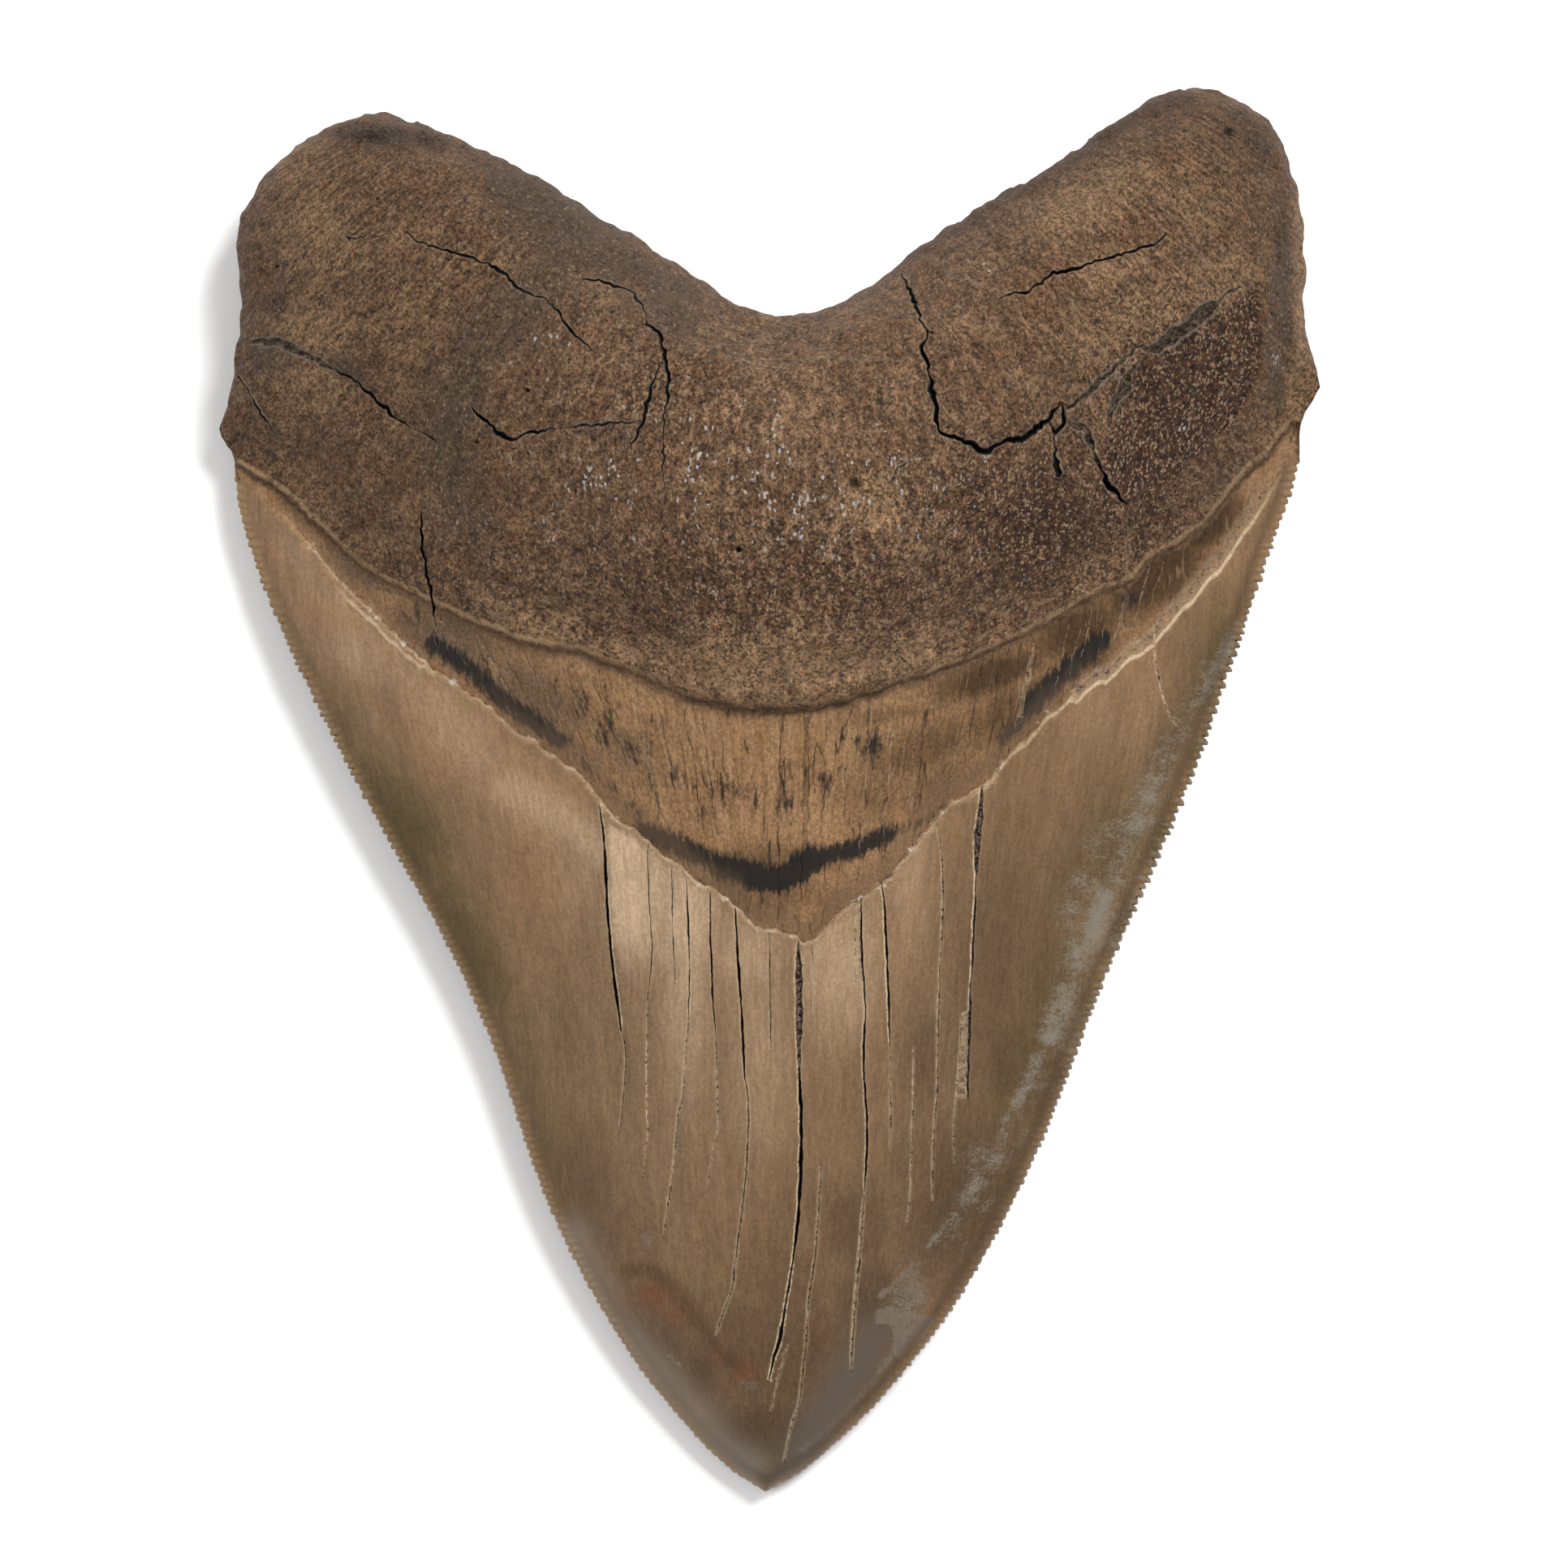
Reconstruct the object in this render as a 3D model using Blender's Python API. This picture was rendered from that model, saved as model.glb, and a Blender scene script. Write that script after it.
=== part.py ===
"""A megalodon tooth, lying on its outer (labial) face with the inner (lingual) face up.

The tip points to -Y and the root's two lobes to +Y. The origin is under the middle of the tooth, on the
surface that it lies on. Lengths below are in millimetres, and the mesh is made in metres.
"""

import math

import bpy
import numpy as np
from mathutils import Vector, kdtree
from mathutils.geometry import delaunay_2d_cdt

MM = 0.001

# The outline, seen from above. Each list is a smooth run, and the runs meet at corners.
TIP = (-0.3, -73.3)
LEFT_SHOULDER = (-55.4, 32.8)
RIGHT_SHOULDER = (55.3, 34.8)
LEFT_SPUR = (-57.3, 37.5)
RIGHT_SPUR = (57.3, 41.8)
LEFT_EDGE = [
    LEFT_SHOULDER, (-54.9, 28.9), (-53.0, 22.7), (-50.5, 16.4), (-46.4, 7.9), (-42.1, -0.5),
    (-37.3, -9.0), (-32.7, -17.4), (-28.9, -25.9), (-26.0, -34.4), (-23.0, -42.8), (-18.9, -51.3),
    (-13.7, -59.8), (-8.1, -66.8), (-3.9, -70.9), TIP,
]
RIGHT_EDGE = [
    TIP, (2.7, -71.7), (6.2, -68.9), (12.0, -63.2), (18.7, -54.7), (23.8, -46.2), (27.9, -37.8),
    (31.3, -29.3), (34.5, -20.8), (38.2, -12.3), (41.8, -3.9), (45.1, 4.1), (47.5, 11.3), (49.9, 18.1),
    (52.1, 24.8), (54.0, 29.9), RIGHT_SHOULDER,
]
RIGHT_SPUR_EDGE = [RIGHT_SHOULDER, (55.3, 37.2), (55.6, 38.8), (56.4, 39.9), (57.0, 40.9), RIGHT_SPUR]
ROOT_EDGE = [
    RIGHT_SPUR, (56.9, 43.9), (56.1, 47.0), (55.5, 51.5), (55.4, 57.0), (55.0, 61.8), (53.8, 66.2),
    (51.4, 69.7), (48.0, 71.6), (43.6, 72.6), (39.2, 71.3), (34.1, 68.1), (28.7, 64.2), (22.0, 60.1),
    (16.6, 56.7), (11.2, 52.6), (5.8, 49.8), (1.1, 48.8), (-3.5, 50.0), (-8.9, 53.7), (-14.3, 57.4),
    (-19.7, 60.7), (-26.5, 64.6), (-33.2, 67.8), (-37.2, 69.5), (-41.2, 70.0), (-45.6, 68.9),
    (-50.3, 65.6), (-53.4, 61.6), (-54.8, 56.6), (-54.8, 50.6), (-55.0, 46.3), (-55.7, 42.9),
    (-56.6, 39.5), LEFT_SPUR,
]
LEFT_SPUR_EDGE = [LEFT_SPUR, (-57.0, 36.7), (-56.3, 35.8), (-55.6, 34.8), LEFT_SHOULDER]

# Serrations of the two cutting edges
CUSP_PITCH = 0.84
LEFT_CUSP_DEPTH = 0.32
RIGHT_CUSP_DEPTH = 0.52
POINTS_A_CUSP = 3
CREST_SHARE = 0.4  # of a cusp's depth that stands outside the edge's line
CUSP_FADE = 6.0  # length over which they shrink towards a shoulder or the tip
SMALLEST_CUSP = 0.35

# Each face stands this far off the cutting edge's line within a short distance of it
BLADE_BODY = 0.13
BLADE_BODY_WIDTH = 0.8

# Profiles along the tooth, as (y, height)
CUTTING_EDGE_HEIGHT = [(-74, 1.5), (-66, 2.3), (-45, 3.6), (-15, 4.3), (36, 4.5)]
CROWN_RIDGE_HEIGHT = [(-74, 1.5), (-70, 4.4), (-60, 8.2), (-40, 12.7), (-15, 16.3), (8, 19.2), (36, 21.8)]

ARCH_SHARE = 0.55  # the crown's section is part arch and part bell, which thins its flanks

# The root's inner face, as (x, y, height) of spots on it
ROOT_SPOTS = [
    (0, 12, 22.6), (0, 20, 26.4), (1, 31, 29.8), (0, 38, 28.2), (0, 45, 23.5), (-13, 16, 22.2),
    (-13, 26, 26.4), (-12, 36, 27.6), (-12, 46, 24.4), (-15, 54, 20.0), (13, 16, 22.4), (13, 26, 27.0),
    (12, 36, 28.4), (12, 46, 25.0), (15, 53, 20.5), (-25, 22, 18.4), (-25, 34, 23.0), (-26, 45, 23.6),
    (-28, 56, 20.8), (25, 23, 19.0), (25, 34, 23.6), (26, 46, 24.4), (28, 57, 21.4), (-38, 28, 14.6),
    (-38, 40, 18.4), (-40, 51, 19.8), (-41, 62, 17.6), (38, 29, 15.0), (38, 40, 18.8), (40, 52, 20.6),
    (43, 64, 18.4), (-49, 34, 9.8), (-49, 44, 14.0), (-50, 56, 14.6), (49, 36, 10.2), (50, 46, 14.4),
    (51, 58, 15.4),
]
# The root's outer face, which lies down: the lobes touch the surface and the middle is lifted off it
UNDERSIDE_SPOTS = [
    (0, 24, 1.0), (0, 32, 2.2), (0, 40, 4.2), (0, 46, 6.4), (-13, 30, 1.4), (-13, 42, 3.2), (13, 30, 1.4),
    (13, 42, 3.2), (-14, 52, 5.0), (14, 52, 5.0), (-26, 32, 0.8), (-26, 46, 1.0), (-28, 58, 1.8),
    (26, 32, 0.8), (26, 46, 1.0), (28, 58, 1.8), (-40, 34, 0.7), (-40, 50, -0.5), (-42, 62, 0.2),
    (40, 34, 0.7), (40, 52, -0.5), (43, 64, 0.2), (-50, 38, 1.6), (-50, 52, 0.6), (50, 38, 1.6),
    (50, 54, 0.6),
]
# The root's widest line, above the surface that the tooth lies on, and the roundings above and below it
ROOT_MARGIN_HEIGHT = 6.8
NOTCH_MARGIN_HEIGHT = 12.0
NOTCH_X = 1.0
NOTCH_WIDTH = 17.0
UPPER_ROUNDING = 9.0
LOWER_ROUNDING = 6.5
SHOULDER_ROUNDING = 3.0
SHOULDER_Y = 34.0  # where the blade's sharp edge starts to turn into the root's round one
MARGIN_LENGTH = 10.0
ROUNDING_LENGTH = 14.0

# The outer face of the crown is flat in the middle, a little hollow below the root, and turns up at the edges
TURN_UP_POWER = 3.4
FLAT_PATCH_CUT = 0.3
HOLLOW_DEPTH = 0.9
HOLLOW_Y = 12.0
HOLLOW_LENGTH = 14.0
# The enamel's upper edge on the outer face: its place at the middle, its rise to the shoulders and its step
OUTER_LEDGE_Y = 27.0
OUTER_LEDGE_RISE = 7.0
OUTER_LEDGE_POWER = 1.6
OUTER_LEDGE_REACH = 52.0
OUTER_STEP = 0.4
OUTER_STEP_WIDTH = 0.5
OUTER_BLEND = 9.0
HALF_WIDTH = 55.0

# The root's lower rim and, below the bourlette, the broken upper edge of the enamel
RIM = [
    (-54.6, 33.4), (-50.5, 30.7), (-45.9, 26.5), (-41.7, 22.7), (-36.4, 19.9), (-30.3, 17.1),
    (-22.0, 14.6), (-13.8, 11.8), (-7.7, 9.2), (-1.3, 8.3), (1.8, 8.2), (8.1, 9.0), (14.5, 11.1),
    (20.9, 13.2), (29.5, 17.5), (37.3, 21.4), (42.5, 25.3), (45.8, 28.0), (49.1, 32.1), (52.0, 34.8),
    (54.2, 37.6),
]
ENAMEL_LEDGE = [
    (-54.2, 32.0), (-49.0, 27.3), (-42.9, 20.3), (-38.7, 16.3), (-35.0, 12.9), (-26.6, 7.0), (-22.1, 3.6),
    (-18.3, 0.6), (-16.1, -2.4), (-12.7, -4.7), (-9.8, -7.3), (-6.2, -10.0), (-1.4, -13.3), (3.5, -15.5),
    (6.5, -13.5), (9.5, -11.0), (13.6, -7.5), (19.1, -1.1), (22.3, 0.8), (26.7, 5.6), (29.6, 8.5),
    (36.0, 13.7), (42.5, 20.2), (47.7, 26.4), (52.0, 32.5), (54.2, 35.4),
]
RIM_STEP = 1.4
RIM_ROUNDING = 1.3
RIM_BROW = 0.35
RIM_BLEND = 7.0  # from the rim to where the root follows its own spots
LEDGE_STEP = 0.6
LEDGE_WIDTH = 0.35
STEP_FADE = 7.0  # length over which both steps shrink towards the shoulders
SHOULDER_RIM_SHARE = 0.3  # of the rim's step that is left there

# Cracks, as (half width, depth, line). They narrow and grow shallow over the last stretch at each end.
CRACK_FADE = 5.0
CRACK_END_SHARE = 0.4
LIP_SHARE = 0.95  # a groove's slopes end just inside its lips
CROWN_CRACKS = [
    (0.40, 1.2, [
        (3.2, -17.2), (3.2, -23.0), (3.3, -35.9), (3.2, -42.5), (2.4, -49.3), (1.2, -56.5), (0.1, -61.0),
    ]),
    (0.24, 0.8, [(-3.1, -14.6), (-2.7, -22.8), (-2.0, -31.4), (-2.6, -42.5), (-3.7, -51.3), (-5.4, -56.5)]),
    (0.30, 0.9, [(-17.2, -3.2), (-16.5, -11.9), (-15.1, -24.7), (-15.3, -35.0)]),
    (0.20, 0.6, [(-8.2, -11.2), (-8.1, -22.8), (-9.2, -33.3), (-10.8, -46.0)]),
    (0.24, 0.8, [(9.6, -13.4), (10.0, -23.0), (10.1, -35.2), (9.3, -48.9), (8.6, -60.1)]),
    (0.28, 0.8, [(12.0, -11.6), (12.4, -22.0), (12.6, -37.2)]),
    (0.20, 0.6, [(17.8, -6.0), (17.8, -16.0), (17.3, -31.4), (17.0, -42.5)]),
    (0.42, 1.0, [(21.9, -1.8), (21.3, -11.6), (20.7, -26.0), (20.6, -31.7)]),
    (0.20, 0.5, [(5.4, -38.6), (4.8, -48.3), (3.6, -59.8), (1.9, -68.0)]),
]
ROOT_CRACKS = [
    (0.45, 1.2, [
        (13.9, 51.8), (15.0, 49.0), (16.3, 46.1), (15.7, 44.2), (16.6, 39.9), (17.2, 36.0), (19.0, 35.4),
        (22.1, 34.1), (25.9, 35.5), (29.6, 39.0), (34.4, 42.2), (37.7, 45.1), (42.8, 47.3), (48.4, 51.6),
    ]),
    (0.60, 1.5, [(28.9, 36.6), (29.2, 34.0), (29.5, 31.2)]),
    (0.40, 1.0, [(31.0, 37.0), (32.4, 36.7), (33.8, 32.7), (36.4, 29.4)]),
    (0.28, 0.8, [(23.0, 49.6), (26.6, 50.4), (31.3, 52.9), (37.5, 54.8), (40.4, 56.5)]),
    (0.30, 0.8, [(-36.9, 56.7), (-31.0, 54.3), (-25.1, 51.0), (-20.3, 47.0), (-17.9, 44.7)]),
    (0.30, 0.9, [(-52.8, 46.3), (-50.2, 46.0), (-41.7, 41.7), (-36.5, 37.0), (-33.9, 35.5)]),
    (0.30, 0.8, [(-29.8, 38.8), (-26.4, 35.5), (-21.7, 36.5), (-13.4, 37.0)]),
    (0.35, 0.9, [(-18.7, 52.1), (-13.8, 51.0), (-12.3, 47.3), (-10.2, 44.0), (-10.0, 40.0), (-10.5, 34.4)]),
    (0.24, 0.8, [(-35.6, 28.3), (-35.0, 23.4), (-34.6, 20.6)]),
]
# Openings of the nutrient canals, as (x, y, radius, depth)
CANAL_OPENINGS = [(9.0, 31.4, 0.9, 1.4), (13.1, 31.8, 0.7, 1.0), (-2.9, 24.2, 0.5, 0.9)]

# Spacing of the mesh
ROOT_OUTLINE_SPACING = 2.3
SPUR_SPACING = 1.1
UPPER_SPACING = 3.2
LOWER_SPACING = 4.6
STEP_SPACING = 2.0
CRACK_SPACING = 2.6
BLADE_RINGS = [(1.1, 1.5), (2.6, 2.4)]  # (distance in from the cutting edge, spacing along it)
ROOT_RINGS = [(0.25, 2.3), (1.0, 2.3), (2.4, 2.5), (4.6, 2.8)]
CLEARANCE = 0.45  # lattice points within this share of the spacing of anything else are left out
BORDER_GAP = 0.1
LINE_GAP = 0.6
FINE = 0.3  # spacing of the points that stand for a line where distances from it are measured

TOOTH_COLOUR = (0.22, 0.135, 0.075, 1)
TOOTH_ROUGHNESS = 0.45


def clear_scene():
    for obj in list(bpy.data.objects):
        bpy.data.objects.remove(obj, do_unlink=True)


def respaced(line, spacing):
    """Points an equal distance apart along a polyline, as near to the spacing as fits."""
    along = np.append(0, np.cumsum(np.linalg.norm(np.diff(line, axis=0), axis=1)))
    count = max(1, round(along[-1] / spacing))
    at = np.linspace(0, along[-1], count + 1)
    return np.column_stack([np.interp(at, along, line[:, axis]) for axis in (0, 1)])


def smooth_curve(points, spacing):
    """Points along the Catmull-Rom curve through the given ones."""
    given = np.array(points, float)
    padded = np.vstack([2 * given[0] - given[1], given, 2 * given[-1] - given[-2]])
    t = np.linspace(0, 1, 16, endpoint=False)[:, None]
    spans = []
    for before, start, end, after in zip(padded, padded[1:], padded[2:], padded[3:]):
        curve = 2 * start + (end - before) * t
        curve = curve + (2 * before - 5 * start + 4 * end - after) * t**2
        curve = curve + (3 * start - before - 3 * end + after) * t**3
        spans.append(curve / 2)
    return respaced(np.vstack([*spans, given[-1:]]), spacing)


def left_normals(line):
    """Unit vectors to the left of the direction of travel, at each point of a line."""
    along = np.gradient(line, axis=0)
    along /= np.linalg.norm(along, axis=1)[:, None]
    return np.column_stack([-along[:, 1], along[:, 0]])


def smooth_step(t):
    t = np.clip(t, 0, 1)
    return t * t * (3 - 2 * t)


def rounded(t):
    """A quarter ellipse: it rises steeply from 0 and levels off at 1."""
    return np.sqrt(1 - (1 - np.clip(t, 0, 1)) ** 2)


def profile(knots, at):
    """Height at each place along a smooth profile given by (place, height) knots."""
    curve = smooth_curve(knots, 0.5)
    return np.interp(at, curve[:, 0], curve[:, 1])


def sheet_through(spots):
    """The height function of a thin sheet that bends smoothly through (x, y, height) spots."""
    table = np.array(spots, float)
    places = table[:, :2]

    def bend(first, second):
        square = ((first[:, None] - second[None]) ** 2).sum(axis=2)
        return square * np.log(square + 1e-9)

    flat = np.column_stack([np.ones(len(places)), places])
    system = np.block([[bend(places, places), flat], [flat.T, np.zeros((3, 3))]])
    weights = np.linalg.solve(system, np.append(table[:, 2], np.zeros(3)))

    def height(x, y):
        at = np.column_stack([x, y])
        tilt = np.column_stack([np.ones(len(at)), at])
        return bend(at, places) @ weights[: len(places)] + tilt @ weights[-3:]

    return height


def distance_to(lines, points):
    """Distance of each point from the nearest point of some finely spaced lines."""
    near = np.vstack(lines)
    tree = kdtree.KDTree(len(near))
    for index, (x, y) in enumerate(near):
        tree.insert((x, y, 0), index)
    tree.balance()
    return np.array([tree.find((x, y, 0))[2] for x, y in points])


def serrated(points, full_depth):
    """A cutting edge with its serrations, walked with the tooth on its left."""
    fade_points = CUSP_FADE / CUSP_PITCH * POINTS_A_CUSP
    line = smooth_curve(points, CUSP_PITCH / POINTS_A_CUSP)
    index = np.arange(len(line))
    to_end = np.minimum(index, len(line) - 1 - index)
    depth = full_depth * np.clip(SMALLEST_CUSP + (1 - SMALLEST_CUSP) * to_end / fade_points, 0, 1)
    out = np.where(index % POINTS_A_CUSP == 0, CREST_SHARE - 1, CREST_SHARE) * depth
    out[[0, -1]] = 0
    return line - left_normals(line) * out[:, None]


def cusp_roots(edge):
    """A point in the middle of the root of each cusp of a serrated edge."""
    valleys = edge[::POINTS_A_CUSP]
    return (valleys[:-1] + valleys[1:]) / 2


def cutting_edges():
    return [serrated(LEFT_EDGE, LEFT_CUSP_DEPTH), serrated(RIGHT_EDGE, RIGHT_CUSP_DEPTH)]


def outline():
    """The closed outline, counter-clockwise, without repeating a point."""
    runs = [
        *cutting_edges(),
        smooth_curve(RIGHT_SPUR_EDGE, SPUR_SPACING),
        smooth_curve(ROOT_EDGE, ROOT_OUTLINE_SPACING),
        smooth_curve(LEFT_SPUR_EDGE, SPUR_SPACING),
    ]
    return np.vstack([run[:-1] for run in runs])


def place_across(x, y):
    """Place across the crown: -1 on the left cutting edge, 0 at the middle and 1 on the right edge."""
    left = smooth_curve(LEFT_EDGE, 0.5)[::-1]
    right = smooth_curve(RIGHT_EDGE, 0.5)
    left_x = np.interp(y, left[:, 1], left[:, 0])
    right_x = np.interp(y, right[:, 1], right[:, 0])
    half = np.maximum((right_x - left_x) / 2, 0.05)
    return np.clip((x - (left_x + right_x) / 2) / half, -1, 1)


def above_line(line, x, y):
    """Signed distance above a line that runs from left to right."""
    curve = smooth_curve(line, 0.5)
    slope = np.gradient(curve[:, 1], curve[:, 0])
    height = np.interp(x, curve[:, 0], curve[:, 1])
    return (y - height) / np.sqrt(1 + np.interp(x, curve[:, 0], slope) ** 2)


def towards_shoulders(x):
    """1 over most of the width, shrinking to 0 at the two shoulders."""
    return smooth_step((HALF_WIDTH - np.abs(x)) / STEP_FADE)


def shoulder_to_root(y, length):
    """0 on the blade, growing to 1 over a length of the root above the shoulders."""
    return smooth_step((y - SHOULDER_Y) / length)


def crown_top(x, y):
    """The inner face of the crown, under the enamel, carried on below the root."""
    edge = profile(CUTTING_EDGE_HEIGHT, y)
    ridge = profile(CROWN_RIDGE_HEIGHT, y)
    across = np.abs(place_across(x, y))
    arch = 1 - across**2
    bell = (1 + np.cos(math.pi * across)) / 2
    return edge + (ridge - edge) * (ARCH_SHARE * arch + (1 - ARCH_SHARE) * bell)


def root_margin(x, y):
    """Height of the root's widest line, which falls to the cutting edge at the shoulders."""
    notch = np.exp(-(((x - NOTCH_X) / NOTCH_WIDTH) ** 2))
    margin = ROOT_MARGIN_HEIGHT + (NOTCH_MARGIN_HEIGHT - ROOT_MARGIN_HEIGHT) * notch
    shoulder = profile(CUTTING_EDGE_HEIGHT, y)
    return shoulder + (margin - shoulder) * shoulder_to_root(y, MARGIN_LENGTH)


def upper_face(x, y, from_edge, grooves):
    """Height of the inner face, which is up."""
    crown = crown_top(x, y) + BLADE_BODY * rounded(from_edge / BLADE_BODY_WIDTH)
    fade = towards_shoulders(x)
    above_ledge = above_line(ENAMEL_LEDGE, x, y)
    enamel = LEDGE_STEP * fade * smooth_step(-above_ledge / LEDGE_WIDTH)
    above_rim = above_line(RIM, x, y)
    at_rim = crown + RIM_STEP * (SHOULDER_RIM_SHARE + (1 - SHOULDER_RIM_SHARE) * fade)
    root = at_rim + (sheet_through(ROOT_SPOTS)(x, y) - at_rim) * smooth_step(above_rim / RIM_BLEND)
    root = crown + (root - crown) * rounded(above_rim / RIM_ROUNDING)
    margin = root_margin(x, y)
    rounding = SHOULDER_ROUNDING + (UPPER_ROUNDING - SHOULDER_ROUNDING) * shoulder_to_root(y, ROUNDING_LENGTH)
    root = margin + (root - margin) * rounded(from_edge / rounding)
    return np.where(above_rim > 0, root, crown + enamel) - grooves


def outer_ledge(x):
    """Where the enamel ends on the outer face."""
    return OUTER_LEDGE_Y + OUTER_LEDGE_RISE * (np.abs(x) / HALF_WIDTH) ** OUTER_LEDGE_POWER


def lower_face(x, y, from_edge):
    """Height of the outer face, which rests on a flat patch of the crown and on the two lobes."""
    edge = profile(CUTTING_EDGE_HEIGHT, y)
    crown = edge * np.abs(place_across(x, y)) ** TURN_UP_POWER - FLAT_PATCH_CUT
    crown = crown + HOLLOW_DEPTH * np.exp(-(((y - HOLLOW_Y) / HOLLOW_LENGTH) ** 2))
    above_ledge = y - outer_ledge(x)
    root = sheet_through(UNDERSIDE_SPOTS)(x, y)
    blend = smooth_step(above_ledge / OUTER_BLEND)
    step = OUTER_STEP * smooth_step(above_ledge / OUTER_STEP_WIDTH) * (1 - blend)
    face = crown + (root - crown) * blend + step
    blade = face - BLADE_BODY * rounded(from_edge / BLADE_BODY_WIDTH)
    margin = root_margin(x, y)
    rounding = SHOULDER_ROUNDING + (LOWER_ROUNDING - SHOULDER_ROUNDING) * shoulder_to_root(y, ROUNDING_LENGTH)
    root_side = margin + (face - margin) * rounded(from_edge / rounding)
    on_root = shoulder_to_root(y, OUTER_STEP_WIDTH)
    return np.maximum(blade + (root_side - blade) * on_root, 0)


def narrowing(from_end):
    """Share of a crack's width and depth at a distance from its nearer end."""
    return np.clip(CRACK_END_SHARE + (1 - CRACK_END_SHARE) * from_end / CRACK_FADE, 0, 1)


def distance_from_ends(line):
    """Distance along an evenly spaced line from each of its points to the nearer end."""
    index = np.arange(len(line))
    return np.minimum(index, index[::-1]) * np.linalg.norm(line[1] - line[0])


def groove_lines(cracks, spacing):
    """Three lines for each crack: its bottom and its two lips, which close in towards its ends."""
    lines = []
    for half_width, _, points in cracks:
        middle = smooth_curve(points, spacing)
        side = left_normals(middle) * half_width * narrowing(distance_from_ends(middle))[:, None]
        lines += [middle, middle + side, middle - side]
    return lines


def canal_rings():
    """A ring of points round each canal opening, with one in its middle."""
    points = []
    for x, y, radius, _ in CANAL_OPENINGS:
        points.append((x, y))
        for turn in np.arange(8) * math.tau / 8:
            points.append((x + radius * math.cos(turn), y + radius * math.sin(turn)))
    return np.array(points)


def groove_depth(points):
    """How far cracks and canal openings lower the inner face at each point."""
    depth = np.zeros(len(points))
    for half_width, deepest, line in CROWN_CRACKS + ROOT_CRACKS:
        fine = smooth_curve(line, 0.1)
        near = np.linalg.norm(points[:, None] - fine[None], axis=2)
        share = narrowing(distance_from_ends(fine))[near.argmin(axis=1)]
        across = near.min(axis=1) / (half_width * share * LIP_SHARE)
        depth = np.maximum(depth, deepest * share * np.clip(1 - across, 0, 1))
    for x, y, radius, deepest in CANAL_OPENINGS:
        away = np.hypot(points[:, 0] - x, points[:, 1] - y)
        depth = np.maximum(depth, deepest * np.clip(1 - away / (radius * LIP_SHARE), 0, 1))
    return depth


def step_lines():
    """The foot and the brow of the root's rim and of the enamel's edge, as lines of points."""
    rim = smooth_curve(RIM, STEP_SPACING)
    ledge = smooth_curve(ENAMEL_LEDGE, STEP_SPACING)
    brow = rim + left_normals(rim) * RIM_BROW
    return [rim, brow, ledge, ledge - left_normals(ledge) * LEDGE_WIDTH]


def outer_step_lines():
    """The two sides of the enamel's edge on the outer face."""
    x = np.arange(-OUTER_LEDGE_REACH, OUTER_LEDGE_REACH + 1, STEP_SPACING)
    ledge = np.column_stack([x, outer_ledge(x)])
    return [ledge, ledge + (0, OUTER_STEP_WIDTH)]


def inner_rings(spacings, points):
    """Points on lines that follow part of the outline inside it, at the given distances and spacings."""
    found = []
    for distance, spacing in spacings:
        line = smooth_curve(points, spacing)
        found.append(line + left_normals(line) * distance)
    return found


def lattice(spacing):
    """A triangular lattice of points over the whole tooth."""
    rows = []
    for row, y in enumerate(np.arange(-74, 74, spacing * math.sqrt(0.75))):
        x = np.arange(-58, 58, spacing) + (spacing / 2 if row % 2 else 0)
        rows.append(np.column_stack([x, np.full(len(x), y)]))
    return np.vstack(rows)


def triangulated(border, lines, loose, spacing):
    """Points and triangles that fill the border, keep the lines as edges and use the loose points."""
    closed_border = respaced(np.vstack([border, border[:1]]), FINE)
    fixed = [respaced(line, FINE) for line in lines]
    near = np.vstack(loose)
    near = near[(distance_to([closed_border], near) > BORDER_GAP) & (distance_to(fixed, near) > LINE_GAP)]
    grid = lattice(spacing)
    grid = grid[distance_to([closed_border, near, *fixed], grid) > CLEARANCE * spacing]
    points = [border]
    edges = [(i, (i + 1) % len(border)) for i in range(len(border))]
    count = len(border)
    for line in lines:
        points.append(line)
        edges += [(count + i, count + i + 1) for i in range(len(line) - 1)]
        count += len(line)
    points += [near, grid]
    points += [chord_middles(np.vstack(points), edges, len(border))]
    return delaunay(np.vstack(points), edges)


def delaunay(points, edges):
    """Points, triangles and the given points behind each, inside the closed line of the first edges."""
    flat = [Vector(point) for point in points]
    found, _, faces, origins, _, _ = delaunay_2d_cdt(flat, edges, [], 1, 1e-5)
    return np.array([tuple(point) for point in found]), faces, origins


def chord_middles(points, edges, border_count):
    """Middles of the edges that would run straight across the inside from one border point to another."""
    found, faces, origins = delaunay(points, edges)
    middles = set()
    for face in faces:
        for start, end in zip(face, [*face[1:], face[0]]):
            ends = [next((o for o in origins[corner] if o < border_count), None) for corner in (start, end)]
            if None in ends or abs(ends[0] - ends[1]) in (1, border_count - 1):
                continue
            middles.add(tuple(np.round((found[start] + found[end]) / 2, 5)))
    return np.array(sorted(middles)).reshape(-1, 2)


def sheet(border, lines, loose, spacing):
    """The inner points of a filled sheet and its faces, which count the border's points first."""
    points, faces, origins = triangulated(border, lines, loose, spacing)
    used = sorted({corner for face in faces for corner in face})
    place = {}
    for index in used:
        on_border = [origin for origin in origins[index] if origin < len(border)]
        place[index] = on_border[0] if on_border else None
    inner = [index for index in used if place[index] is None]
    for order, index in enumerate(inner):
        place[index] = len(border) + order
    return points[inner], [tuple(place[corner] for corner in face) for face in faces]


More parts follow.
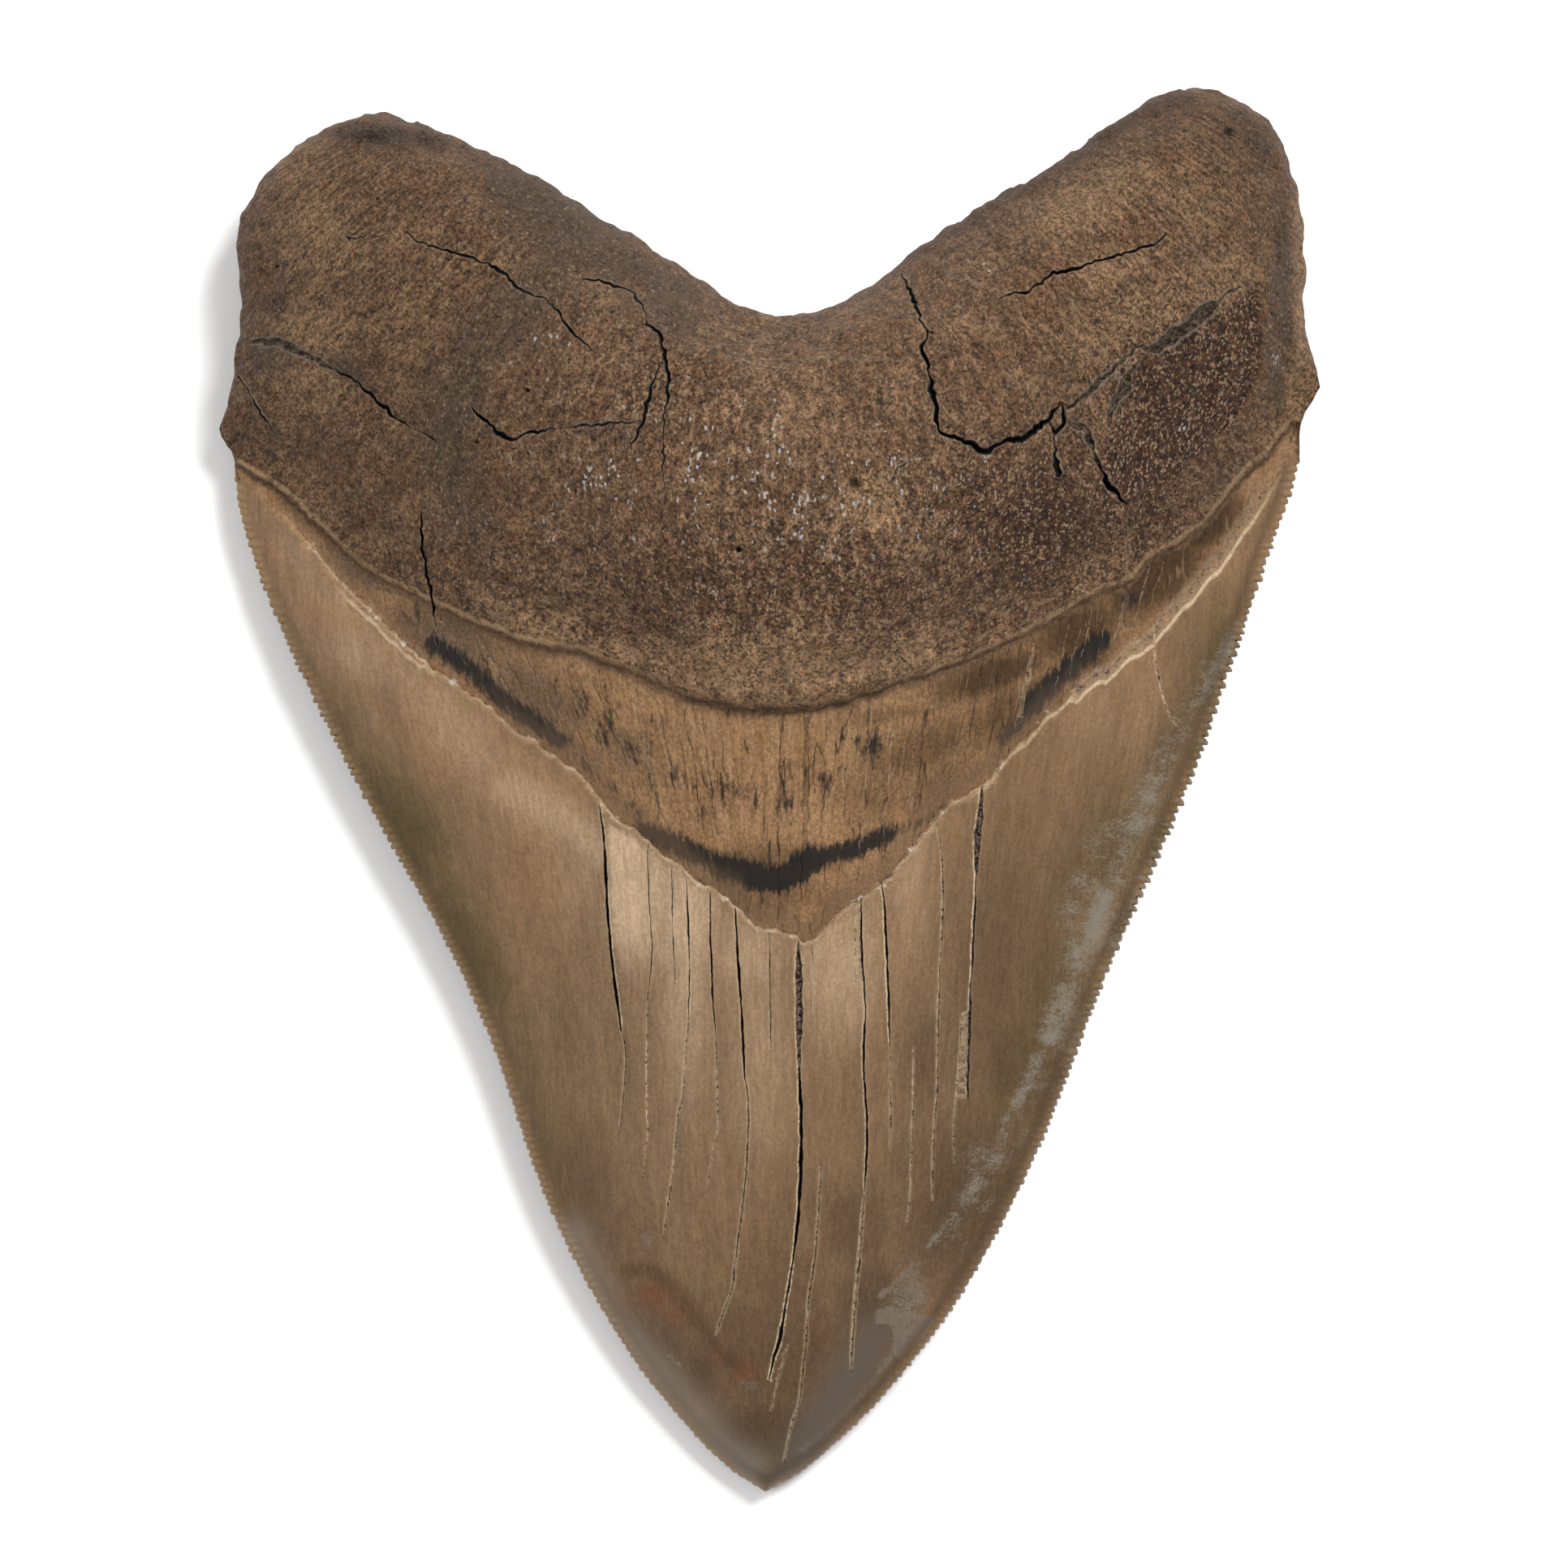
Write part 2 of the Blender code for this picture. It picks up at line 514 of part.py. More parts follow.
def tooth_mesh():
    border = outline()
    fine_border = respaced(np.vstack([border, border[:1]]), FINE / 3)
    rings = inner_rings(BLADE_RINGS, LEFT_EDGE) + inner_rings(BLADE_RINGS, RIGHT_EDGE)
    rings += inner_rings(ROOT_RINGS, ROOT_EDGE)
    rings += [cusp_roots(edge) for edge in cutting_edges()]
    lines = step_lines() + groove_lines(CROWN_CRACKS + ROOT_CRACKS, CRACK_SPACING)
    upper, upper_faces = sheet(border, lines, rings + [canal_rings()], UPPER_SPACING)
    lower, lower_faces = sheet(border, outer_step_lines(), rings, LOWER_SPACING)

    upper_z = upper_face(*upper.T, distance_to([fine_border], upper), groove_depth(upper))
    lower_z = lower_face(*lower.T, distance_to([fine_border], lower))
    border_z = root_margin(*border.T)
    points = np.vstack([
        np.column_stack([border, border_z]),
        np.column_stack([upper, upper_z]),
        np.column_stack([lower, lower_z]),
    ])
    shift = len(upper)
    faces = list(upper_faces)
    for face in lower_faces:
        moved = [corner + shift if corner >= len(border) else corner for corner in face]
        faces.append(tuple(reversed(moved)))
    middle = (points.max(axis=0) + points.min(axis=0)) / 2
    points -= (middle[0], middle[1], points[:, 2].min())
    mesh = bpy.data.meshes.new("tooth")
    mesh.from_pydata((points * MM).tolist(), [], faces)
    mesh.validate()
    mesh.shade_smooth()
    mesh.set_sharp_from_angle(angle=math.radians(50))
    return mesh


def fossil_material():
    material = bpy.data.materials.new("Fossil tooth")
    material.use_nodes = True
    shader = material.node_tree.nodes["Principled BSDF"]
    shader.inputs["Base Color"].default_value = TOOTH_COLOUR
    shader.inputs["Roughness"].default_value = TOOTH_ROUGHNESS
    shader.inputs["Metallic"].default_value = 0.0
    return material


def main():
    clear_scene()
    collection = bpy.data.collections.new("Megalodon tooth")
    bpy.context.scene.collection.children.link(collection)
    mesh = tooth_mesh()
    mesh.materials.append(fossil_material())
    collection.objects.link(bpy.data.objects.new("tooth", mesh))


main()
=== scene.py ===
"""The looks of a megalodon tooth, lying on its outer face, seen from straight above.

One fine closed surface stands for the whole tooth. It repeats the form of the solid and adds the fine
relief: the single cusps of the serrated edges, every crack, the grain of the root, the broken edge of the
enamel. Masks painted on its points tell the one material where root, bourlette, enamel, stains and fillings
are. Lengths are in millimetres in the solid's own axes, and the mesh is made in metres.
"""

import math
from functools import lru_cache, reduce

import bpy
import numpy as np
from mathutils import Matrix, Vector, kdtree, noise
from mathutils.geometry import delaunay_2d_cdt


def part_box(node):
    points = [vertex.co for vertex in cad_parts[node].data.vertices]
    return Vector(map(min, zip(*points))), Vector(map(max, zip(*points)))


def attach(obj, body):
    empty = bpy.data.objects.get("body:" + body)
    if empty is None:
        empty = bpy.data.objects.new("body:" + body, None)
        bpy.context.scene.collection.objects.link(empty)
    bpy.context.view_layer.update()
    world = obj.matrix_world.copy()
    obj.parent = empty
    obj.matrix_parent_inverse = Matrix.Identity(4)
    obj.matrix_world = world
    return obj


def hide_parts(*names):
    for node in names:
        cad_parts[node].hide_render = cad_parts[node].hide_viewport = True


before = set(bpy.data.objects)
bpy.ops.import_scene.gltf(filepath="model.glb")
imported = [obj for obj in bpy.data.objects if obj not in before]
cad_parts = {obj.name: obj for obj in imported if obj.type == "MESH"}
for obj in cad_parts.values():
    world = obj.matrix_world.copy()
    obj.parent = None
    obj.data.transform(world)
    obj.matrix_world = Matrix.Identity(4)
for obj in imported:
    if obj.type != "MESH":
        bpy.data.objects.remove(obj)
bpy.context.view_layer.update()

MM = 0.001
BODY = "root"
NODE = "tooth"

# The outline, seen from above. Each list is a smooth run, and the runs meet at corners.
TIP = (-0.3, -73.3)
LEFT_SHOULDER = (-55.4, 32.8)
RIGHT_SHOULDER = (55.3, 34.8)
LEFT_SPUR = (-57.3, 37.5)
RIGHT_SPUR = (57.3, 41.8)
LEFT_EDGE = [
    LEFT_SHOULDER, (-54.9, 28.9), (-53.0, 22.7), (-50.5, 16.4), (-46.4, 7.9), (-42.1, -0.5),
    (-37.3, -9.0), (-32.7, -17.4), (-28.9, -25.9), (-26.0, -34.4), (-23.0, -42.8), (-18.9, -51.3),
    (-13.7, -59.8), (-8.1, -66.8), (-3.9, -70.9), TIP,
]
RIGHT_EDGE = [
    TIP, (2.7, -71.7), (6.2, -68.9), (12.0, -63.2), (18.7, -54.7), (23.8, -46.2), (27.9, -37.8),
    (31.3, -29.3), (34.5, -20.8), (38.2, -12.3), (41.8, -3.9), (45.1, 4.1), (47.5, 11.3), (49.9, 18.1),
    (52.1, 24.8), (54.0, 29.9), RIGHT_SHOULDER,
]
RIGHT_SPUR_EDGE = [RIGHT_SHOULDER, (55.3, 37.2), (55.6, 38.8), (56.4, 39.9), (57.0, 40.9), RIGHT_SPUR]
ROOT_EDGE = [
    RIGHT_SPUR, (56.9, 43.9), (56.1, 47.0), (55.5, 51.5), (55.4, 57.0), (55.0, 61.8), (53.8, 66.2),
    (51.4, 69.7), (48.0, 71.6), (43.6, 72.6), (39.2, 71.3), (34.1, 68.1), (28.7, 64.2), (22.0, 60.1),
    (16.6, 56.7), (11.2, 52.6), (5.8, 49.8), (1.1, 48.8), (-3.5, 50.0), (-8.9, 53.7), (-14.3, 57.4),
    (-19.7, 60.7), (-26.5, 64.6), (-33.2, 67.8), (-37.2, 69.5), (-41.2, 70.0), (-45.6, 68.9),
    (-50.3, 65.6), (-53.4, 61.6), (-54.8, 56.6), (-54.8, 50.6), (-55.0, 46.3), (-55.7, 42.9),
    (-56.6, 39.5), LEFT_SPUR,
]
LEFT_SPUR_EDGE = [LEFT_SPUR, (-57.0, 36.7), (-56.3, 35.8), (-55.6, 34.8), LEFT_SHOULDER]

# Serrations. Depths are (y, depth) along each edge, from the tip up.
CUSP_PITCH = 0.84
CUSP_SPREAD = 0.22  # how far the cusps' lengths and depths vary
CUSP_POINTS = 7
CUSP_SHARPNESS = 0.65
CREST_PLACE = 0.36  # where the crest is in a cusp's length, from its end nearer the tip
CREST_SHARE = 0.45
LEFT_CUSP_DEPTH = [(-74, 0.12), (-60, 0.24), (-20, 0.34), (5, 0.42), (28, 0.28), (34, 0.12)]
RIGHT_CUSP_DEPTH = [(-74, 0.12), (-55, 0.3), (-25, 0.38), (-5, 0.6), (18, 0.5), (32, 0.4), (36, 0.2)]
RIDGE_HEIGHT = 0.26  # by which a cusp's ridge stands out of each face
RIDGE_LENGTH = 1.5
RIDGE_LEAN = 0.35
RIDGE_LEVEL = 0.6  # the height of a cusp at which its ridge neither rises above the face nor sinks into it
RIDGE_FULL_DEPTH = 0.3  # shallower cusps than this have lower ridges
RIDGE_REACH = 0.6  # ridges are looked for in this share of each half of the width

ROOT_LUMPS = 0.15  # the root's outline is a little uneven
LUMP_FADE = 0.2

# Each face stands this far off the cutting edge's line within a short distance of it
BLADE_BODY = 0.13
BLADE_BODY_WIDTH = 0.8

# Profiles along the tooth, as (y, height)
CUTTING_EDGE_HEIGHT = [(-74, 1.5), (-66, 2.3), (-45, 3.6), (-15, 4.3), (36, 4.5)]
CROWN_RIDGE_HEIGHT = [(-74, 1.5), (-70, 4.4), (-60, 8.2), (-40, 12.7), (-15, 16.3), (8, 19.2), (36, 21.8)]
ARCH_SHARE = 0.55  # the crown's section is part arch and part bell, which thins its flanks

# The root's inner face, as (x, y, height) of spots on it
ROOT_SPOTS = [
    (0, 12, 22.6), (0, 20, 26.4), (1, 31, 29.8), (0, 38, 28.2), (0, 45, 23.5), (-13, 16, 22.2),
    (-13, 26, 26.4), (-12, 36, 27.6), (-12, 46, 24.4), (-15, 54, 20.0), (13, 16, 22.4), (13, 26, 27.0),
    (12, 36, 28.4), (12, 46, 25.0), (15, 53, 20.5), (-25, 22, 18.4), (-25, 34, 23.0), (-26, 45, 23.6),
    (-28, 56, 20.8), (25, 23, 19.0), (25, 34, 23.6), (26, 46, 24.4), (28, 57, 21.4), (-38, 28, 14.6),
    (-38, 40, 18.4), (-40, 51, 19.8), (-41, 62, 17.6), (38, 29, 15.0), (38, 40, 18.8), (40, 52, 20.6),
    (43, 64, 18.4), (-49, 34, 9.8), (-49, 44, 14.0), (-50, 56, 14.6), (49, 36, 10.2), (50, 46, 14.4),
    (51, 58, 15.4),
]
# The root's outer face, which lies down: the lobes touch the surface and the middle is lifted off it
UNDERSIDE_SPOTS = [
    (0, 24, 1.0), (0, 32, 2.2), (0, 40, 4.2), (0, 46, 6.4), (-13, 30, 1.4), (-13, 42, 3.2), (13, 30, 1.4),
    (13, 42, 3.2), (-14, 52, 5.0), (14, 52, 5.0), (-26, 32, 0.8), (-26, 46, 1.0), (-28, 58, 1.8),
    (26, 32, 0.8), (26, 46, 1.0), (28, 58, 1.8), (-40, 34, 0.7), (-40, 50, -0.5), (-42, 62, 0.2),
    (40, 34, 0.7), (40, 52, -0.5), (43, 64, 0.2), (-50, 38, 1.6), (-50, 52, 0.6), (50, 38, 1.6),
    (50, 54, 0.6),
]
# The root's widest line, above the surface that the tooth lies on, and the roundings above and below it
ROOT_MARGIN_HEIGHT = 6.8
NOTCH_MARGIN_HEIGHT = 12.0
NOTCH_X = 1.0
NOTCH_WIDTH = 17.0
UPPER_ROUNDING = 9.0
LOWER_ROUNDING = 6.5
SHOULDER_ROUNDING = 3.0
SHOULDER_Y = 34.0  # where the blade's sharp edge starts to turn into the root's round one
MARGIN_LENGTH = 10.0
ROUNDING_LENGTH = 14.0

# The crown's outer face is flat in the middle, a little hollow below the root, and turns up at the edges
TURN_UP_POWER = 3.4
FLAT_PATCH_CUT = 0.3
HOLLOW_DEPTH = 0.9
HOLLOW_Y = 12.0
HOLLOW_LENGTH = 14.0
OUTER_LEDGE_Y = 27.0
OUTER_LEDGE_RISE = 7.0
OUTER_LEDGE_POWER = 1.6
OUTER_LEDGE_REACH = 52.0
OUTER_STEP = 0.4
OUTER_STEP_WIDTH = 0.5
OUTER_BLEND = 9.0
HALF_WIDTH = 55.0

# The root's lower rim and, below the bourlette, the broken upper edge of the enamel
RIM = [
    (-55.2, 33.7), (-50.5, 30.7), (-45.9, 26.5), (-41.7, 22.7), (-36.4, 19.9), (-30.3, 17.1),
    (-25.1, 15.1), (-19.4, 14.0), (-13.8, 11.8), (-7.7, 9.2), (-1.3, 8.3), (1.8, 8.2), (8.1, 9.0),
    (14.5, 11.1), (20.9, 13.2), (29.5, 17.5), (33.8, 20.0), (37.3, 21.4), (39.3, 23.4), (42.5, 25.3),
    (45.8, 28.0), (49.1, 32.1), (52.0, 34.8), (54.3, 38.0),
]
ENAMEL_LEDGE = [
    (-54.6, 32.4), (-49.0, 27.3), (-42.9, 20.3), (-38.7, 16.3), (-35.0, 12.9), (-30.8, 10.0), (-26.6, 7.0),
    (-22.1, 3.6), (-18.3, 0.6), (-16.1, -2.4), (-12.7, -4.7), (-9.8, -7.3), (-6.2, -10.0), (-3.2, -11.9),
    (-1.4, -13.5), (2.7, -14.9), (3.7, -15.5), (6.5, -13.5), (9.5, -11.0), (11.6, -9.4), (13.6, -7.5),
    (16.1, -4.2), (19.1, -1.1), (22.3, 0.8), (24.2, 3.1), (26.7, 5.6), (29.6, 8.5), (32.8, 11.5),
    (36.0, 13.7), (40.3, 17.6), (42.5, 20.2), (45.8, 23.8), (47.7, 26.4), (49.7, 29.3), (52.0, 32.5),
    (54.6, 36.2),
]
RIM_STEP = 1.4
RIM_ROUNDING = 1.3
RIM_BROW = 0.35
RIM_BLEND = 7.0
LEDGE_STEP = 0.6
LEDGE_WIDTHS = [
    (-55, 0.4), (-44, 0.8), (-36, 0.7), (-30, 0.35), (27, 0.35), (31, 1.1), (48, 1.3), (55, 0.7),
]
LEDGE_LIP = 0.12  # the enamel is a little thicker along its broken edge
LEDGE_LIP_WIDTH = 0.9
STEP_FADE = 7.0
SHOULDER_RIM_SHARE = 0.3
RIM_JITTER = 0.16
LEDGE_JITTER = 0.3

# Cracks, as (half width, depth, filling, pale lip on the left, on the right, line)
DARK, GRIT, CHALK = "dark", "grit", "chalk"
CROWN_CRACKS = [
    (0.31, 0.45, GRIT, 0.3, 0.9, [(3.1, -15.5), (3.2, -23), (3.2, -29.4)]),
    (0.2, 1.0, DARK, 0.1, 0.9, [(3.2, -28.4), (3.4, -35.9), (3.2, -42.5), (2.9, -45.7), (2.5, -48.6)]),
    (0.15, 0.7, DARK, 0.8, 1.0, [(2.6, -48), (1.8, -52.9), (1.2, -56.5), (0.5, -59.1), (0.1, -61)]),
    (0.12, 0.4, CHALK, 0.2, 0.5, [(2.1, -57.2), (1.0, -61.1), (0.3, -64.4)]),
    (0.14, 0.8, DARK, 0.9, 0.2, [
        (-17.3, -1.1), (-16.8, -5.6), (-16.5, -11.9), (-15.9, -19), (-15.1, -24.7),
    ]),
    (0.11, 0.4, CHALK, 0.1, 0.6, [(-15.1, -24.7), (-14.7, -27.2), (-14.9, -31.1), (-15.3, -35)]),
    (0.07, 0.3, DARK, 0.2, 0.2, [(-12.3, -5.9), (-12.2, -11.9), (-11.9, -16.4), (-12.3, -21)]),
    (0.08, 0.25, CHALK, 0.1, 0.2, [(-12.4, -20.8), (-12.5, -31.4), (-12.4, -35.2), (-12.9, -39.8)]),
    (0.08, 0.35, DARK, 0.3, 0.2, [(-9.8, -7.7), (-9.8, -13.2), (-9.5, -19.6)]),
    (0.1, 0.4, DARK, 0.6, 0.3, [(-8.3, -9.1), (-8.1, -16.4), (-8.1, -22.8)]),
    (0.13, 0.45, CHALK, 0.4, 0.6, [
        (-8.1, -22.8), (-8.5, -27.3), (-8.8, -31.4), (-9.2, -33.3), (-9.8, -39.1), (-10.8, -46),
    ]),
    (0.12, 0.5, DARK, 0.1, 0.2, [(-5.9, -10.6), (-5.8, -18), (-5.4, -24.4)]),
    (0.1, 0.35, CHALK, 0.2, 0.4, [
        (-5.4, -24.4), (-5.2, -31.4), (-5.2, -35.2), (-5.8, -38.2), (-6.2, -40.8),
    ]),
    (0.14, 0.8, DARK, 0.1, 0.4, [(-3.3, -12.1), (-3, -18), (-2.7, -22.8), (-2.4, -29.4)]),
    (0.13, 0.5, CHALK, 0.5, 0.8, [
        (-2.4, -29.4), (-2, -31.4), (-2.1, -36.9), (-2.6, -42.5), (-3.2, -47), (-3.7, -51.3), (-4.6, -53.9),
        (-5.4, -56.5),
    ]),
    (0.06, 0.2, DARK, 0.1, 0.2, [(0.1, -14.5), (0.2, -21.2), (0.3, -26.4)]),
    (0.08, 0.25, CHALK, 0.1, 0.2, [(4.5, -15.7), (4.8, -22.8)]),
    (0.12, 0.45, CHALK, 0.4, 0.7, [
        (5.4, -38.6), (5.2, -42.5), (4.8, -48.3), (4.2, -52.2), (4, -56.1), (3.6, -59.8), (3.2, -63.1),
        (2.3, -66.4), (1.7, -69.7),
    ]),
    (0.07, 0.2, CHALK, 0.1, 0.2, [(7.5, -13.5), (7.7, -18.6)]),
    (0.09, 0.25, CHALK, 0.1, 0.2, [(8.9, -11.9), (9, -19.6)]),
    (0.12, 0.7, DARK, 0.2, 0.6, [
        (9.5, -11.1), (9.6, -16.4), (9.9, -21.2), (10, -23), (9.8, -27.8), (10.2, -35.2), (9.9, -41.1),
    ]),
    (0.2, 0.5, DARK, 0.3, 0.5, [(9.5, -48.4), (9.3, -49.6), (9.2, -50.6)]),
    (0.14, 0.5, CHALK, 0.6, 0.9, [
        (9.9, -41.1), (9.6, -45.7), (9.3, -48.9), (9, -52.9), (8.7, -57.2), (8.6, -60.1),
    ]),
    (0.16, 0.8, DARK, 0.1, 0.9, [(11.6, -9.6), (11.9, -11.9), (12.3, -19.6), (12.5, -26)]),
    (0.1, 0.35, CHALK, 0.2, 0.5, [(12.5, -26), (12.6, -29.4), (12.6, -37.2)]),
    (0.12, 0.35, CHALK, 0.2, 0.5, [
        (17.4, -3.8), (17.9, -8.4), (17.9, -13.2), (17.6, -19.6), (17.5, -26), (17.4, -31.4), (17.1, -35.9),
        (17, -42.5),
    ]),
    (0.09, 0.3, CHALK, 0.2, 0.4, [(15, -26.1), (14.9, -34.3), (14.6, -42.5), (14.3, -45)]),
    (0.3, 0.4, GRIT, 0.2, 1.0, [(22, 0.5), (21.5, -5.2), (21.4, -8.6)]),
    (0.13, 0.5, DARK, 0.1, 1.0, [(21.4, -8.2), (21.3, -11.6), (20.9, -19.9)]),
    (0.15, 0.5, GRIT, 0.1, 0.7, [(20.9, -19.6), (20.7, -26), (20.6, -31.7)]),
    (0.08, 0.25, CHALK, 0.1, 0.3, [(19.9, -23), (19.6, -29.4), (19.2, -34.3), (19.3, -38.6)]),
    (0.12, 0.25, CHALK, 0.3, 0.3, [(39.9, 17.2), (40.1, 13.3), (40.6, 10.8), (41.2, 8.6), (42.3, 6.7)]),
]
ROOT_CRACKS = [
    (0.17, 0.9, DARK, 0.3, 0.3, [
        (13.6, 53.2), (13.6, 52.7), (14.4, 51), (15, 49), (15.5, 47.3), (16.3, 46.1),
    ]),
    (0.24, 1.2, DARK, 0.2, 0.4, [
        (16.3, 46.1), (15.6, 44.6), (16.2, 43.1), (16.4, 40.9), (16.8, 39.6), (16.9, 37.5), (17.3, 35.9),
        (19, 35.6), (20.5, 34.8), (22.1, 34.1), (24, 35.5), (25.9, 35.5), (28.1, 37.4), (29.7, 39.2),
    ]),
    (0.2, 0.6, GRIT, 0.4, 0.5, [(29.7, 39.2), (30.5, 38.7), (32.1, 40.1), (34.4, 42.2), (37.7, 45.1)]),
    (0.46, 0.9, GRIT, 0.4, 0.5, [
        (37.7, 45.1), (39.5, 44.9), (41.4, 46.5), (42.8, 47.3), (45.8, 49.9), (48.4, 51.6),
    ]),
    (0.24, 1.1, DARK, 0.2, 0.2, [(28.1, 37.4), (29.1, 36), (30.2, 37.5), (29.7, 39.2)]),
    (0.3, 1.0, GRIT, 0.8, 0.5, [(29, 35.9), (29.2, 34.6)]),
    (0.72, 1.5, DARK, 0.8, 0.6, [(29.2, 34.9), (29.3, 33.2), (29.6, 31.5)]),
    (0.55, 1.1, GRIT, 0.6, 0.5, [(30.5, 37.2), (32.3, 36.9), (33, 34.6), (33.8, 32.7)]),
    (0.38, 1.1, DARK, 0.4, 0.4, [(33.8, 32.7), (34.7, 30.8), (36.4, 29.5)]),
    (0.06, 0.3, DARK, 0.2, 0.2, [(36.4, 29.5), (36.8, 24.3), (36.9, 16.9)]),
    (0.46, 0.7, GRIT, 0.5, 0.5, [(37.7, 43.8), (36.5, 41.9), (35.4, 39.6), (34.7, 37.4)]),
    (0.34, 0.6, GRIT, 0.9, 0.5, [(12.3, 30.7), (12.7, 31.9), (13.3, 32.6), (14.2, 33.0)]),
    (0.13, 0.3, CHALK, 0.2, 0.2, [(16.9, 47.3), (19.5, 49.7), (22.4, 51.6)]),
    (0.17, 0.6, DARK, 0.2, 0.3, [
        (22.7, 49.3), (25, 50.4), (26.6, 50.3), (28.7, 52.2), (31.3, 52.9), (34.7, 54.1), (37.5, 54.8),
        (39.8, 55.6), (40.4, 56.5),
    ]),
    (0.15, 0.6, DARK, 0.2, 0.3, [
        (-36.9, 56.7), (-34.6, 55.4), (-31, 54.3), (-27.3, 53), (-25.1, 51), (-21.7, 49.1), (-20.3, 47),
        (-17.9, 44.7),
    ]),
    (0.3, 0.5, GRIT, 0.3, 0.4, [(-53.6, 46.4), (-50.2, 46), (-46.5, 44.1), (-43.5, 42.6)]),
    (0.2, 0.9, DARK, 0.2, 0.3, [(-43.9, 42.9), (-41.7, 41.7), (-39.1, 39.2), (-36.5, 37), (-33.9, 35.5)]),
    (0.22, 0.9, DARK, 0.3, 0.3, [
        (-29.8, 38.8), (-28.6, 37.7), (-26.4, 35.5), (-23.6, 36.2), (-21.7, 36.5),
    ]),
    (0.14, 0.4, GRIT, 0.2, 0.2, [(-21.7, 36.5), (-17.5, 36.8), (-12.7, 37)]),
    (0.15, 0.5, DARK, 0.2, 0.2, [(-18.7, 52.1), (-16.5, 51.2), (-13.8, 51), (-12.7, 49.1), (-12.3, 47.3)]),
    (0.24, 0.9, DARK, 0.2, 0.2, [(-12.3, 47.3), (-10.8, 45.6), (-10, 41.7), (-10.3, 38.1)]),
    (0.12, 0.5, DARK, 0.2, 0.2, [(-10.3, 38.1), (-10.5, 34.4), (-10.4, 30)]),
    (0.18, 0.6, DARK, 0.2, 0.2, [(-10.9, 43.1), (-11.8, 40.5), (-12.6, 36.6), (-13.8, 34.4)]),
    (0.16, 0.8, DARK, 0.2, 0.2, [(-35.6, 28.3), (-35.4, 24.6), (-34.7, 20.9), (-34.4, 17.9), (-34.1, 15)]),
    (0.14, 0.4, DARK, 0.9, 0.3, [(-54.6, 43.0), (-53.6, 41.0), (-52.4, 39.2), (-50.3, 35.9)]),
    (0.09, 0.3, DARK, 0.2, 0.2, [(-44.6, 58.0), (-42.8, 56.4), (-40.6, 56.2), (-38.4, 56.6)]),
    (0.1, 0.2, CHALK, 0.5, 0.5, [
        (-5.4, 44), (-2.8, 43.4), (1.6, 42.9), (5.7, 43.6), (10.2, 43.6), (13.8, 43.4), (15.3, 45.1),
    ]),
]
# How strongly the fillings of each kind of crack show
FILL_STRENGTH = {
    ("crown", DARK): 1.0, ("crown", GRIT): 1.0, ("crown", CHALK): 0.9, ("root", DARK): 1.0,
    ("root", GRIT): 0.9, ("root", CHALK): 0.35, ("hairline", DARK): 0.6, ("hairline", CHALK): 0.55,
}
# How wide each filling is, as a share of the width that the list gives
SLIMNESS = {
    ("crown", DARK): 0.9, ("crown", GRIT): 0.9, ("crown", CHALK): 0.85, ("root", DARK): 0.92,
    ("root", GRIT): 1.05, ("root", CHALK): 0.8, ("hairline", DARK): 1.0, ("hairline", CHALK): 0.8,
}
CRACK_FADE = 4.0  # over this length a crack narrows to CRACK_END_SHARE of its width at each end
CRACK_END_SHARE = 0.35
WIDE_CRACK = 0.3  # from this half width on, a crack has a rounded bottom and more lines of points
CRACK_REACH = 1.0  # what the material is told as the distance from the cracks where there is none
CRACK_SURROUND = 2.0  # how far from a crack its lips and its dust are worked out
DUST_STRENGTH = {"crown": 0.0, "root": 1.0, "hairline": 0.0}  # how much grit lies beside a crack
DUST_SHARE = {DARK: 0.5, GRIT: 1.0, CHALK: 0.5}
DUST_WIDTH = 0.45
LIP_REACH = 1.0  # a crack's two lips stand up or hang down by LIP_HEIGHT, and level off over this distance
LIP_HEIGHT = 0.07
LIP_TURN = 2.4  # in radians from one crack to the next, which makes their lips' heights differ
LIP_PALENESS = {"crown": 1, "root": 0.5, "hairline": 1}
CHALK_LIP_PALENESS = 0.4
# How far a crack strays from its line, as (slow sway, jitter of each point)
WANDER = {"crown": (0.035, 0.03), "root": (0.12, 0.16), "hairline": (0.16, 0.05)}
GAPS = {"crown": 0.5, "root": 0.9, "hairline": 0.9}  # how much a crack's width varies along it
WIDTH_LIMITS = (0.25, 1.5)

# Hairline cracks of the bourlette
HAIRLINE_SPACING = 1.8
LEFT_FAN, RIGHT_FAN = 0.018, 0.007  # they lean towards the middle, by this share of x a millimetre
HAIRLINE_HALF_WIDTH = 0.055
ENAMEL_FAN = 0.004
HAIRLINE_DEPTH = 0.1
HAIRLINE_ENDS = (-40, 44)
HAIRLINE_SHIFT = 1.0
HAIRLINE_TOP = (0.1, 1.5)  # how far below the root's rim they start
HAIRLINE_FOOT = (0.2, 0.8)  # how far above the enamel they end, at the least
HAIRLINE_LENGTHS = (3, 24)
SHORTEST_HAIRLINE = 2.5
HAIRLINE_SHARES = (0.4, 1.1)  # of the half width
HAIRLINE_POINTS = 6
CHALKY_RANGE = 45  # pale ones take over from dark ones from left to right, never fully
CHALKY_SHARE = 0.8

